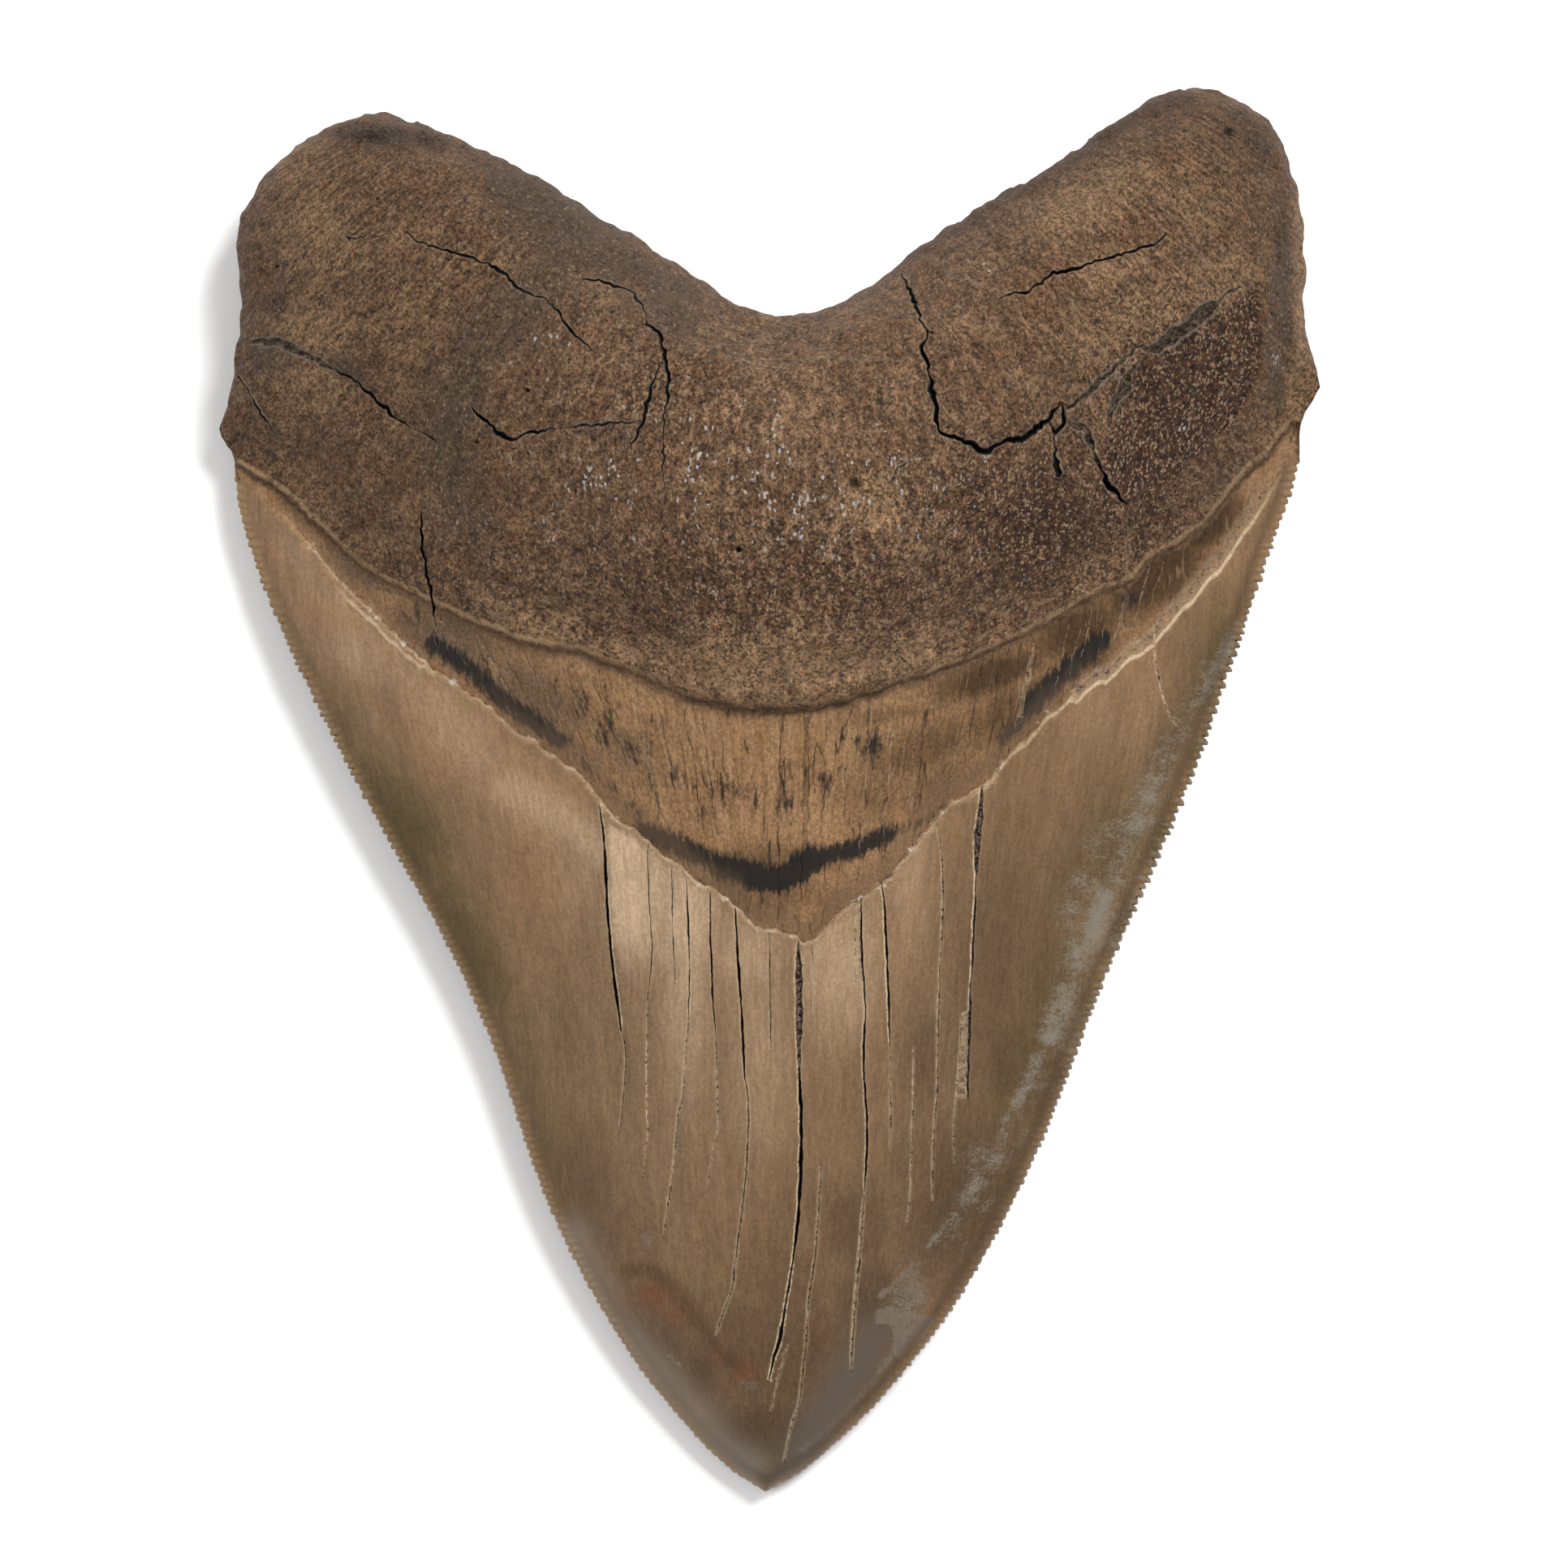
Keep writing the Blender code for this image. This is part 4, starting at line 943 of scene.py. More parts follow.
def outer_step_lines():
    x = np.arange(-OUTER_LEDGE_REACH, OUTER_LEDGE_REACH, STEP_SPACING * 2)
    ledge = np.column_stack([x, outer_ledge(x)])
    return [ledge, ledge + (0, OUTER_STEP_WIDTH)]


def tooth_sheets():
    """The base form: points of the border, the upper and the lower face, and the faces between them."""
    draw = np.random.default_rng(SEED)
    border = outline()
    rings = [ring for edge in EDGES for ring in inner_rings(BLADE_RINGS, edge[0])]
    outer_rings = [ring for edge in EDGES for ring in inner_rings(OUTER_BLADE_RINGS, edge[0])]
    root_rings = inner_rings(ROOT_RINGS, ROOT_EDGE)
    upper_grids = [(lattice(spacing, part, draw), spacing) for spacing, part in (
        (ROOT_SPACING, root_part), (BOURLETTE_SPACING, bourlette_part), (TIP_SPACING, tip_part),
        (ENAMEL_SPACING, enamel_part),
    )]
    lower_grids = [(lattice(OUTER_SPACING, whole_face, draw), OUTER_SPACING)]
    loose = rings + root_rings + [pit_rings()]
    upper, upper_faces = sheet(border, step_lines() + crack_lines(), loose, upper_grids)
    lower, lower_faces = sheet(border, outer_step_lines(), outer_rings + root_rings, lower_grids)
    return border, upper, upper_faces, lower, lower_faces


def tooth_points():
    """The whole surface: points, faces and which points are on the inner face."""
    border, upper, upper_faces, lower, lower_faces = tooth_sheets()
    fine_border = respaced(np.vstack([border, border[:1]]), FINE / 2)
    upper_z = upper_face(*upper.T, distance_to([fine_border], upper)) + cusp_ridges(*upper.T)
    lower_z = lower_face(*lower.T, distance_to([fine_border], lower)) - cusp_ridges(*lower.T)
    points = np.vstack([
        np.column_stack([border, root_margin(*border.T)]),
        np.column_stack([upper, upper_z]),
        np.column_stack([lower, np.maximum(lower_z, 0)]),
    ])
    moved = np.where(lower_faces >= len(border), lower_faces + len(upper), lower_faces)
    faces = np.vstack([upper_faces, moved[:, ::-1]])
    on_inner = np.zeros(len(points), bool)
    on_inner[len(border) : len(border) + len(upper)] = True
    return points, faces, on_inner


def point_normals(points, faces):
    corners = points[faces]
    normals = np.cross(corners[:, 1] - corners[:, 0], corners[:, 2] - corners[:, 0])
    total = np.zeros_like(points)
    for corner in range(3):
        np.add.at(total, faces[:, corner], normals)
    return total / np.linalg.norm(total, axis=1)[:, None]


def parts_of(points, on_inner):
    """Shares from 0 to 1 for root and bourlette. What is neither is enamel."""
    x, y = points[:, 0], points[:, 1]
    inner_root = smooth_step(above(rim_curve(), x, y) / ROOT_BLUR + 0.5)
    inner_dentine = smooth_step((above(ledge_curve(), x, y) + ledge_width(x)) / DENTINE_BLUR)
    outer_root = smooth_step((y - outer_ledge(x)) / OUTER_STEP_WIDTH)
    high = points[:, 2] > profile(CUTTING_EDGE_HEIGHT, y) - 0.05
    inner = on_inner | (high & (y < SHOULDER_Y))
    root = np.where(inner, inner_root, outer_root)
    return root, np.where(inner, np.clip(inner_dentine - inner_root, 0, 1), 0)


def tooth_surface():
    """The finished points and faces, with the masks that the material reads."""
    points, faces, on_inner = tooth_points()
    paint = crack_paint(points[:, :2])
    for name, mask in paint.items():
        mask[~on_inner] = CRACK_REACH if name == "crack_away" else 0
    normals = point_normals(points, faces)
    root, bourlette = parts_of(points, on_inner)
    enamel = 1 - root - bourlette
    slab = slab_share(points[:, :2]) * on_inner
    pits = pit_depth(points[:, :2]) * on_inner
    calm = 1 - np.clip(paint["depth"] / CALM_DEPTH, 0, 1)
    off_edge = np.clip(distance_to([edge_line(0), edge_line(1)], points[:, :2]) / CALM_EDGE, 0, 1)
    rim_away = distance_to([smooth_curve(ROOT_EDGE, 0.3)], points[:, :2])
    knobs = relief(points, KNOBS, 40) * np.exp(-((rim_away / KNOB_REACH) ** 2))
    height = root * (relief(points, ROOT_RELIEF) * np.clip(off_edge + CALM_ROOT_SHARE, 0, 1) + knobs)
    height += bourlette * relief(points, BOURLETTE_RELIEF, 10)
    height += enamel * relief(points, ENAMEL_RELIEF, 20) * off_edge
    height = height * calm + paint["lip"]
    points = points + normals * height[:, None]
    points[:, 2] -= paint["depth"] + pits + slab * SLAB_DEPTH
    points[:, 2] = np.maximum(points[:, 2], 0)
    masks = {
        "root": root, "bourlette": bourlette, "pit": np.clip(pits / DARK_PIT_DEPTH, 0, 1),
        "crack_dark": paint[DARK], "crack_grit": paint[GRIT], "crack_chalk": paint[CHALK],
        **{name: paint[name] for name in ("crack_away", "crack_width", "crack_lip", "dust")},
    }
    masks.update(paint_masks(points, on_inner, root, bourlette))
    return points, faces, masks, on_inner


# ---- Painted masks ----

PAINT_SPACING = 0.3  # of the points along painted lines, and round painted areas
AREA_SPACING = 0.2

# Strengths along the tooth's width, as (x, strength): the pale lip below the enamel's broken edge
LIP_PLACES = [
    (-45, 0), (-43, 0.7), (-36, 0.6), (-34, 0.2), (20, 0.1), (28, 0.5), (34, 0.9), (52, 0.9), (54, 0),
]
# The pale brink of that edge, with a painted highlight on it and a painted shadow line above it
BRINK_PLACES = [
    (-52, 0), (-47, 0.4), (-40, 0.7), (-24, 0.6), (-16, 0.85), (16, 0.9), (24, 0.7), (30, 0.3), (50, 0),
]
# Light on the root's rim, shade at the bourlette's foot, the pale cusps and the dusk inside them
RIM_LIGHT_PLACES = [(-24, 1), (-10, 0.25), (10, 0.2), (24, 0.6)]
FOOT_SHADE_PLACES = [(-30, 0.4), (-22, 1), (24, 1), (34, 0.4)]
CUSP_PLACES = [(-8, 1), (6, 0.35)]
EDGE_SHADE_PLACES = [(-5, 0.4), (5, 1)]
# Shade under the rim and growth rings above it, by distance from the middle, and the rings by height too
UNDER_RIM_REACH = [(8, 1), (30, 0.25)]
RING_REACH = [(20, 1), (34, 0)]
RING_HEIGHTS = [(0, 0), (0.5, 1), (3, 0.8), (7, 0)]
# The root's fibres fan out from a point above the notch. The others converge over a length below FAN_START.
FAN_WIDTH = 75
FAN_TOP = 95
FAN_START = 10
FAN_LENGTH = 25

# Soft spots are (x, y, radius across, radius along, strength, turn in degrees if any), lines are
# (half width, strength, points), and areas are (points, strength, width of their edge).

# The black stains of the bourlette, and its grey and dark olive zones
STAIN_LINES = [
    (1.1, 1.4, [(-34.6, 15.2), (-31.5, 13), (-28.8, 10.6), (-25.2, 7.8), (-21.2, 5)]),
    (0.8, 0.65, [(-22.2, 5.4), (-19, 2.6), (-16, 0.2), (-12.4, -3.2)]),
    (1.3, 1.35, [(-12.6, -4.2), (-9.6, -5.5), (-6.5, -6.8), (-4.2, -7.9)]),
    (1.5, 1.9, [(-4.6, -7.9), (-1.6, -8.6), (1, -9.1), (3.2, -8), (4.6, -7)]),
    (1.2, 1.5, [(4.4, -7.1), (8.6, -6), (12, -4.6)]),
    (0.9, 0.8, [(11, -5), (13.6, -3.9), (16.4, -3), (18.4, -1.6)]),
    (0.8, 1.3, [(24, 5), (26, 7.2), (27.6, 9)]),
    (1.2, 1.6, [(27.2, 8.9), (29, 10.8), (31.6, 13), (34.4, 15.4)]),
]
STAIN_SPOTS = [
    (-16.5, 6.6, 1.8, 2.8, 0.8), (-13.6, 4.2, 1.7, 2.4, 0.8), (-18.8, 8.8, 1, 1.6, 0.75),
    (-9.4, 1.4, 1.6, 2.2, 0.75), (-4.4, 0.2, 1.9, 2.4, 0.8), (-1.6, -0.6, 1.4, 2.6, 0.75),
    (1.8, -1, 1.8, 2.8, 0.75), (6, 0.6, 1.6, 2.6, 0.72), (10.8, 4.6, 1.2, 2.3, 1.1),
    (9.2, 4.8, 0.6, 1.6, 1), (7.6, 5.4, 0.6, 1, 0.9), (-6.6, -2.6, 1.3, 2.2, 0.65),
    (37.6, 20, 1.8, 1.4, 0.8, 40), (-12, 1, 1.3, 2.2, 0.65), (4, 1.6, 1.3, 2, 0.65),
]
ASHEN = [
    (-42, 23.5, 5, 3, 0.9, -35), (-33, 15.4, 7, 2.8, 1, -25), (-24, 9.6, 7, 3.2, 0.95, -30),
    (-2, -10.5, 8, 2.4, 0.5), (20, 9, 7, 3, 0.3, 25), (-15, 4, 7, 3.4, 0.55, -30),
    (-10, 6, 9, 2, 0.3, -10),
]
SHADE = [
    (40, 22, 8, 3.4, 1, 38), (32, 16.5, 7, 3, 0.9, 28), (23, 11.8, 8, 2.4, 0.9, 18),
    (46, 27.5, 5, 2.2, 1, 40), (12, 7.6, 8, 1.3, 0.5, 10), (-20, 11.8, 6, 0.7, 0.35, -15),
    (0.5, -6.8, 8, 2, 0.5), (-28, 14.8, 6, 0.6, 0.3, -22), (28, 9.5, 5, 3, 0.55, 35),
    (2, -10.8, 8, 3, 0.42), (11, -0.6, 5, 4.4, 0.5), (-38, 17.6, 5, 1.2, 0.3, -35),
    (16, 4.2, 9, 3.8, 0.62, 22), (25, 8.2, 9, 3.8, 0.66, 32), (17, 1, 8, 3.4, 0.5, 35),
    (33, 14, 6, 3.4, 0.6, 35), (-21, 8.5, 6, 2.5, 0.3, -25),
]
# Zones of the enamel
OLIVE = [
    (-45, 5, 5, 9, 0.6, 25), (-39.5, -4, 6, 13, 0.9, 30), (-32, -16, 5, 14, 0.8, 25),
    (-25.5, -30, 5, 16, 0.55, 18), (46.5, 13, 3, 9, 0.7, -20), (40, 1, 4, 8, 0.4, -25),
    (-21, -38, 5, 10, 0.3, 20), (49.6, 14.5, 1.6, 4, 0.9, -25), (45.6, 4.5, 1.6, 6, 0.9, -22),
    (41, -5, 1.6, 6, 0.9, -24), (36.8, -14, 1.6, 6, 0.8, -20), (33.2, -23, 1.6, 6, 0.7, -22),
    (29, -32, 1.5, 6, 0.6, -26), (24, -41, 1.5, 6, 0.6, -32), (46.8, 18, 2.6, 5, 0.5, -20),
    (36, -6, 5, 10, 0.65, -22), (29.5, -22, 5, 11, 0.6, -22), (27, -30, 5, 9, 0.5, -22),
    (44, 9, 3, 8, 0.5, -22), (-48.8, 13.5, 2, 6, 0.55, 25),
]
WARM = [
    (-50.5, 24, 3, 8, 0.45, 30), (-44.5, 18.5, 4, 3, 0.7, -35), (-41, 14, 6, 5, 0.4, 35),
    (-33, 7, 6, 7, 0.75, 35), (-25, 0.5, 7, 5, 0.8, -30), (38, 12, 7, 5, 0.4, -40), (27, -2, 7, 10, 0.25),
    (48, 26, 3, 6, 0.3, -30), (-24, -8, 6, 14, 0.5), (18, -32, 6, 12, 0.1),
]
# Pale zones of the enamel. The strongest one, left of the middle beside the long crack, is pale enamel with
# a painted highlight.
PALE_AND_HIGHLIGHT = [
    (-13, -11, 3.8, 8, 0.8), (-13, -24, 3, 8, 0.2, 5), (-8.5, -20, 3.6, 14, 0.5), (-19.5, -9, 5, 9, 0.3),
    (-1, -26, 5, 14, 0.4), (-33, 5, 9, 9, 0.12, 30), (34, 8, 8, 6, 0.2, -40), (14.5, -9, 3, 10, 0.4),
    (-25, 1, 7.5, 5.5, 0.22, -30), (-8.5, -13, 4.4, 9, 0.7), (-2, -16.5, 5, 8, 0.5), (7, -17, 6, 11, 0.5),
    (-42.5, 14.5, 5, 3.2, 0.45, -38),
]
PALE_LINES = [
    (3, 0.5, [(-27, 0.5), (-20.5, -3.6), (-17.5, -6.5)]),
    (4.4, 0.34, [(-47.5, 25.5), (-43.5, 20), (-38, 13.6), (-32, 6.6), (-26, -0.6), (-20.5, -4.6)]),
]
DUSKY = [
    (24, -18, 9, 26, 0.65, -12), (20, -42, 8, 14, 0.9, -20), (0, -68, 8, 7, 1), (-12, -58, 7, 10, 0.7, 25),
    (-18, -44, 6, 12, 0.6, 20), (2, -59, 14, 11, 0.75), (30, -10, 6, 22, 0.55, -20), (9, -34, 6, 14, 0.35),
    (45, 13, 5, 10, 0.45, -25), (11, -53, 6, 7, 0.85), (16, -28, 4, 9, 0.68), (4.5, -43, 7, 8, 0.5),
    (9, -45, 6, 8, 0.7), (-20.5, -26, 4, 10, 0.36, 12), (25, -28, 6, 8, 0.75, -20), (2, -52, 9, 9, 0.6),
    (-2, -37, 3, 6, 0.35), (42.5, 6, 3.4, 10, 0.6, -24), (16, -39, 5, 8, 0.65), (-7, -60, 4, 5, 0.75),
    (29, -30, 4, 8, 0.7, -24),
]
RUST = [
    (-11.9, -52.3, 2, 1.7, 1), (-9.6, -54.2, 1.9, 1.6, 0.7), (-15.2, -53.2, 2.4, 2, 0.45),
    (-2.4, -60, 1.8, 1.8, 0.8), (-5.2, -58.4, 1.6, 1.6, 0.5), (47.8, 11.6, 0.6, 1.3, 0.8, -20),
    (5.5, -57, 2, 1.4, 0.3),
]
# The crinkled pale panel beside a long crack of the crown, pale enamel with a painted highlight on it, and
# its strength by y
PALE_PANEL_AND_HIGHLIGHT = [([
    (-16.8, -2.9), (-15.2, -3.6), (-13, -5.2), (-12.3, -12), (-12.2, -18), (-13, -26),
    (-14.6, -30), (-15.2, -24.7), (-15.8, -19), (-16.4, -11.9), (-16.8, -2.9),
], 1, 0.8)]
PALE_PANEL_AND_HIGHLIGHT_STRENGTH = [(-22, 0), (-16, 0.6), (-12, 1.1), (-5, 1.0)]
# A chip of the enamel's broken edge
CHIP = [([
    (-17.6, -1), (-16.2, -1.9), (-15.9, -3), (-16.4, -3.8), (-17.1, -3.2), (-17.6, -1),
], 1, 0.2)]
# The grey haze along the right cutting edge
HAZE_LINES = [
    (3.4, 0.36, [(46.4, 12), (42.6, 4.5), (39.2, -3)]),
    (3.6, 0.54, [(39.2, -3), (36.6, -9.5), (33.6, -17), (31.6, -23)]),
    (3.4, 0.36, [(31.6, -23), (27, -34), (22.5, -42)]),
    (0.9, 0.75, [(48.9, 17.4), (47.2, 14.2), (45.3, 10.2), (42.9, 6.7)]),
    (2.3, 0.6, [(43.6, 8), (42, 4.8), (40.4, 1.4), (39, -2.2), (37.2, -6.1)]),
    (1.4, 0.95, [(37, -6), (36, -8.8), (34.6, -12), (33.3, -15.3), (31.1, -20.6), (29.2, -25.6)]),
    (0.9, 0.7, [(29.2, -25.6), (26.6, -31), (24.6, -35.6)]),
    (1.2, 0.6, [(22.2, -39.4), (20.6, -42.5), (19.2, -45.2)]),
    (0.4, 0.7, [(21.3, -41.2), (19.5, -43.6), (16.5, -47.4)]),
    (0.26, 1, [(-10.3, -58.8), (-9.7, -59.3), (-9.1, -59.8)]),
]
HAZE = [
    (33.4, -9, 2.8, 3.4, 0.5), (31, -12.5, 2.2, 3.4, 0.42), (28.5, -26, 1.6, 5, 0.4, -25),
    (22.5, -38.5, 2.6, 3.6, 0.5, -35), (15, -52, 3.4, 4, 0.5, -30), (34.4, -5.6, 2.4, 3.4, 0.62),
    (20, -46, 3, 3, 0.4, -40), (-31, -12.5, 0.5, 1.4, 0.6), (52.8, 31, 1.2, 3, 0.4, -20),
    (-13.7, -56.8, 0.8, 1.1, 0.6), (-12.6, -46.5, 0.9, 1.1, 0.5), (-1.9, -61.6, 1.5, 0.7, 0.6, -10),
    (17.6, -46, 0.3, 1.3, 0.7),
]
# A pale crust with a long tail near the tip, a smooth slate-coloured band beside it, the grey band along
# the left cutting edge, and brown arcs above the tip
CRUST_AREAS = [
    ([
        (10.9, -53.8), (12.8, -53.3), (13.8, -53.8), (16.3, -54.3), (17.7, -54.5), (17.1, -56.2),
        (15.3, -58), (13.7, -59.7), (12.8, -58.5), (12.8, -56.2), (12.1, -55.5), (10.9, -55.5),
        (10.9, -53.8),
    ], 1, 0.3),
    ([
        (14.9, -49.2), (16.6, -50.7), (17.5, -53.7), (13.8, -53.8), (12.8, -53.3), (11.7, -52.6),
        (14.9, -49.2),
    ], 0.6, 0.3),
]
CRUST_LINES = [
    (0.4, 1, [(14.9, -49.2), (13.3, -50.8), (11.7, -52.3)]),
    (0.6, 0.8, [(12.8, -59), (10.4, -62.2), (8.2, -64.9), (5.8, -67), (3.7, -68.6)]),
]
SLATE_LINES = [
    (2.4, 1, [(11, -56.8), (8.6, -60.6), (5.8, -64.8), (3.2, -68.8)]),
]
TIP_BAND = [
    (2.2, 1, [
        (-20.6, -46.6), (-18.4, -51.6), (-16.2, -55.6), (-12.4, -59.8), (-8.4, -64.6), (-5, -68.2),
        (-2, -70.4),
    ]),
]
ARC_LINES = [
    (1.3, 0.55, [(-14.6, -49.9), (-12, -49.9), (-9.4, -51.9), (-7.4, -54.6)]),
    (1, 0.5, [(-8, -53.8), (-6.6, -55.8), (-5.2, -57.7), (-3.2, -59.6)]),
]
# Zones of the root: dark ones with a band along the right lobe, light ones, grey ones with bands on the
# left lobe and a strip at the right edge, and black soot
ROOT_DARK = [
    (-38.5, 66.9, 7, 1.8, 0.9, -3), (-46, 35, 4, 3, 0.35), (-29.5, 30, 5, 8, 0.5), (-9, 21, 10, 5, 0.5),
    (43, 40, 6, 7, 0.6, -25), (27, 27, 9, 8, 0.9), (38, 31, 6, 6, 0.8, -30), (34, 70, 9, 2, 0.4, 25),
    (-14, 30, 6, 6, 0.3), (49.5, 67, 3, 4, 0.5), (-38, 24, 6, 4, 0.3, -30), (-24, 60.5, 9, 3, 0.7, -30),
    (-21, 44.5, 5, 4, 0.45), (20, 20, 9, 3.4, 0.45, 15),
]
EDGE_BAND = [
    (1.3, 0.8, [(7, 51.6), (16, 56), (24, 60.7), (31, 64.8), (38, 69.3), (43, 71)]),
]
ROOT_LIGHT = [
    (-46, 57, 6, 8, 0.7), (-47.5, 45, 5, 9, 0.75), (-48, 64, 5, 5, 0.6), (1, 38, 9, 5, 0.45),
    (33, 60, 9, 4, 0.9, 25), (10.6, 29, 4.4, 3.6, 1), (10.4, 27.6, 2.6, 1.6, 1.6), (-3, 13, 18, 3.6, 1.1),
    (22, 44, 6, 5, 0.2), (43, 60, 6, 6, 0.55), (54.5, 41, 3, 5, 0.85), (-27, 53.4, 1.4, 0.9, 1),
    (54.9, 54, 1.3, 12, 0.9), (-48, 33, 5, 3, 0.45), (14, 25, 3, 2.4, 0.5), (-22, 15.8, 9, 2.5, 0.8, -22),
    (38.5, 48.5, 6, 2.6, 1.3, 32), (45.5, 47.5, 2, 1.6, 0.7, 30), (47.5, 53, 4, 4, 0.7),
    (14, 13.4, 8, 3, 0.7, 15), (35, 53, 5, 3, 0.7, 20), (32.5, 45, 4, 4, 0.6), (47, 50, 4, 3, 0.7, 30),
]
ROOT_GREY = [
    (-25.5, 49, 4, 7, 0.9, -25), (-32, 38, 3.6, 8, 0.9, -20), (-20, 57, 9, 5, 1, -35),
    (-10, 49, 5, 4, 0.9, -30), (-51, 44.6, 3.4, 2, 1), (-43, 43, 3, 1.2, 0.9, -30), (52.9, 52, 1.3, 10, 1),
    (52.2, 43, 1.2, 5, 1, 15), (-30, 28, 3, 8, 0.5), (47, 32, 4, 5, 0.6, -40), (-15, 37, 5, 1.6, 0.4),
    (8.5, 52, 5, 1.5, 0.4, 10), (1, 21, 3.5, 4, 0.4),
]
GREY_BAND = [
    (4.4, 0.72, [(-19, 57.5), (-24, 50.5), (-30, 44.5), (-33, 38), (-32, 32), (-31, 28)]),
    (2.6, 0.8, [(-27, 62), (-20, 58.4), (-14, 54), (-9, 50.4)]),
]
GREY_STRIP = [([
    (51, 42.8), (51.1, 47.5), (51.2, 53), (52.2, 58), (54.3, 57), (54.6, 50), (53.9, 44.8),
    (51, 42.8),
], 0.6, 0.4)]
SOOT = [
    (-40.5, 67.4, 5.5, 1.6, 1, -3), (-34.5, 66.8, 3, 1.4, 0.8, -15), (-50.4, 50, 2.2, 2.4, 0.8),
    (-48, 52.5, 1.4, 1.2, 0.7), (50.5, 66, 2.6, 3.5, 0.7, 20), (44, 36, 5, 4, 0.45), (30, 27, 7, 6, 0.55),
    (-47, 36, 4, 3, 0.4), (48, 69.4, 2, 1, 0.9), (-8, 20, 7, 4, 0.45), (-39, 30, 4, 3, 0.4),
    (-43, 33, 6, 5, 0.35), (-36.5, 17.5, 2, 1.6, 0.6), (-28, 17, 3, 2, 0.5), (15, 22, 8, 5, 0.4),
    (24, 21, 6, 5, 0.5),
]
# Where white mineral flecks lie, where the root's fibres show, and where it is rough and speckled
MINERAL = [
    (-16.8, 31.1, 3.2, 2.3, 1), (-7.1, 31.7, 2.6, 2.6, 1), (0.7, 30.6, 2, 2.6, 0.8),
    (3.3, 29.4, 1.6, 2.6, 1), (2.7, 26.4, 1.4, 1.6, 0.8), (-9.1, 23.1, 0.9, 1.1, 0.9),
    (-6.9, 19.7, 0.9, 0.9, 1.3), (12.3, 36.2, 1, 0.8, 1.1), (12.9, 33.2, 1.4, 0.9, 1.2),
    (8.6, 29, 2.2, 1.4, 1.1), (22.3, 53.1, 0.8, 0.6, 1), (43, 37, 0.8, 0.5, 1.2),
    (52.1, 44.5, 0.8, 0.6, 1.2), (-22, 45, 6, 5, 0.15), (0, 30, 24, 9, 0.28),
]
STREAKED = [
    (0, 24, 26, 10, 1), (30, 24, 10, 8, 0.8, -30), (-30, 24, 12, 8, 0.7, 30), (47, 32, 4, 5, 1, -40),
]
SPECKLED = [
    (41, 41, 7, 9, 1, -25), (26, 27, 12, 8, 0.9), (0, 20, 30, 8, 0.5), (-10, 40, 9, 5, 0.4),
    (36, 30, 8, 7, 0.8, -30),
]
# The masks that only the inner face shows
INNER_ONLY = (
    "stain", "under_rim", "rim_light", "broken", "broken_grit", "broken_lip", "brink", "arc", "crust",
    "slate", "haze", "tip_band", "slab_tone",
)
# Every listed painted mask: its name, the part that it lies on, and its soft spots, lines and areas
PAINTINGS = [
    ("olive", "enamel", OLIVE, (), ()),
    ("warm", "enamel", WARM, (), ()),
    ("pale", "enamel", PALE_AND_HIGHLIGHT, PALE_LINES, ()),
    ("dusky", "enamel", DUSKY, (), ()),
    ("rust", "enamel", RUST, (), ()),
    ("haze", "enamel", HAZE, HAZE_LINES, ()),
    ("arc", "all", (), ARC_LINES, ()),
    ("crust", "all", (), CRUST_LINES, CRUST_AREAS),
    ("slate", "all", (), SLATE_LINES, ()),
    ("tip_band", "all", (), TIP_BAND, ()),
    ("stain", "bourlette", STAIN_SPOTS, STAIN_LINES, ()),
    ("ashen", "bourlette", ASHEN, (), ()),
    ("shade", "bourlette", SHADE, (), ()),
    ("root_dark", "root", ROOT_DARK, EDGE_BAND, ()),
    ("root_light", "root", ROOT_LIGHT, (), ()),
    ("root_grey", "root", ROOT_GREY, GREY_BAND, GREY_STRIP),
    ("mineral", "root", MINERAL, (), ()),
    ("speckled", "root", SPECKLED, (), ()),
    ("streaked", "root", STREAKED, (), ()),
    ("soot", "root", SOOT, (), ()),
    ("slab_tone", "root", (), (), [(SLAB, 1, 0.7)]),
]


def soft_spot(points, x, y, across, along, degrees=0):
    """1 in the middle of a spot, falling off over its two radii."""
    turn = math.radians(degrees)
    dx, dy = points[:, 0] - x, points[:, 1] - y
    u = dx * math.cos(turn) + dy * math.sin(turn)
    v = dy * math.cos(turn) - dx * math.sin(turn)
    return np.exp(-((u / across) ** 2) - (v / along) ** 2)


def painted(points, spots=(), lines=(), areas=()):
    """The strongest of the soft spots, lines and areas at each point."""
    layers = [np.zeros(len(points))]
    for x, y, across, along, strength, *degrees in spots:
        layers.append(strength * soft_spot(points, x, y, across, along, *degrees))
    for width, strength, line in lines:
        away = distance_to([smooth_curve(line, PAINT_SPACING)], points)
        layers.append(strength * np.exp(-((away / width) ** 2)))
    for polygon, strength, edge in areas:
        layers.append(strength * area_share(respaced(np.array(polygon, float), AREA_SPACING), points, edge))
    return np.max(layers, axis=0)


def strength_at(place, knots):
    """The strength at each place along a run of (place, strength) knots."""
    return np.interp(place, *np.array(knots, float).T)


def rim_masks(x, above_rim, below_ledge, root, bourlette):
    """Shade under the root's rim, light and growth rings on it, and shade at the bourlette's foot."""
    shade = 0.45 * np.exp(-((above_rim / 0.8) ** 2)) + 0.4 * np.exp(-((above_rim / 0.3) ** 4))
    foot = np.exp(-(((below_ledge + 1.0) / 1.7) ** 2))
    return {
        "under_rim": shade * strength_at(np.abs(x - 1), UNDER_RIM_REACH) * (above_rim < 0.1),
        "rim_light": smooth_step(2 - np.abs(above_rim)) * root * strength_at(x, RIM_LIGHT_PLACES),
        "rim_rings": strength_at(above_rim, RING_HEIGHTS) * strength_at(np.abs(x - 2), RING_REACH),
        "foot_shade": foot * bourlette * strength_at(x, FOOT_SHADE_PLACES),
    }


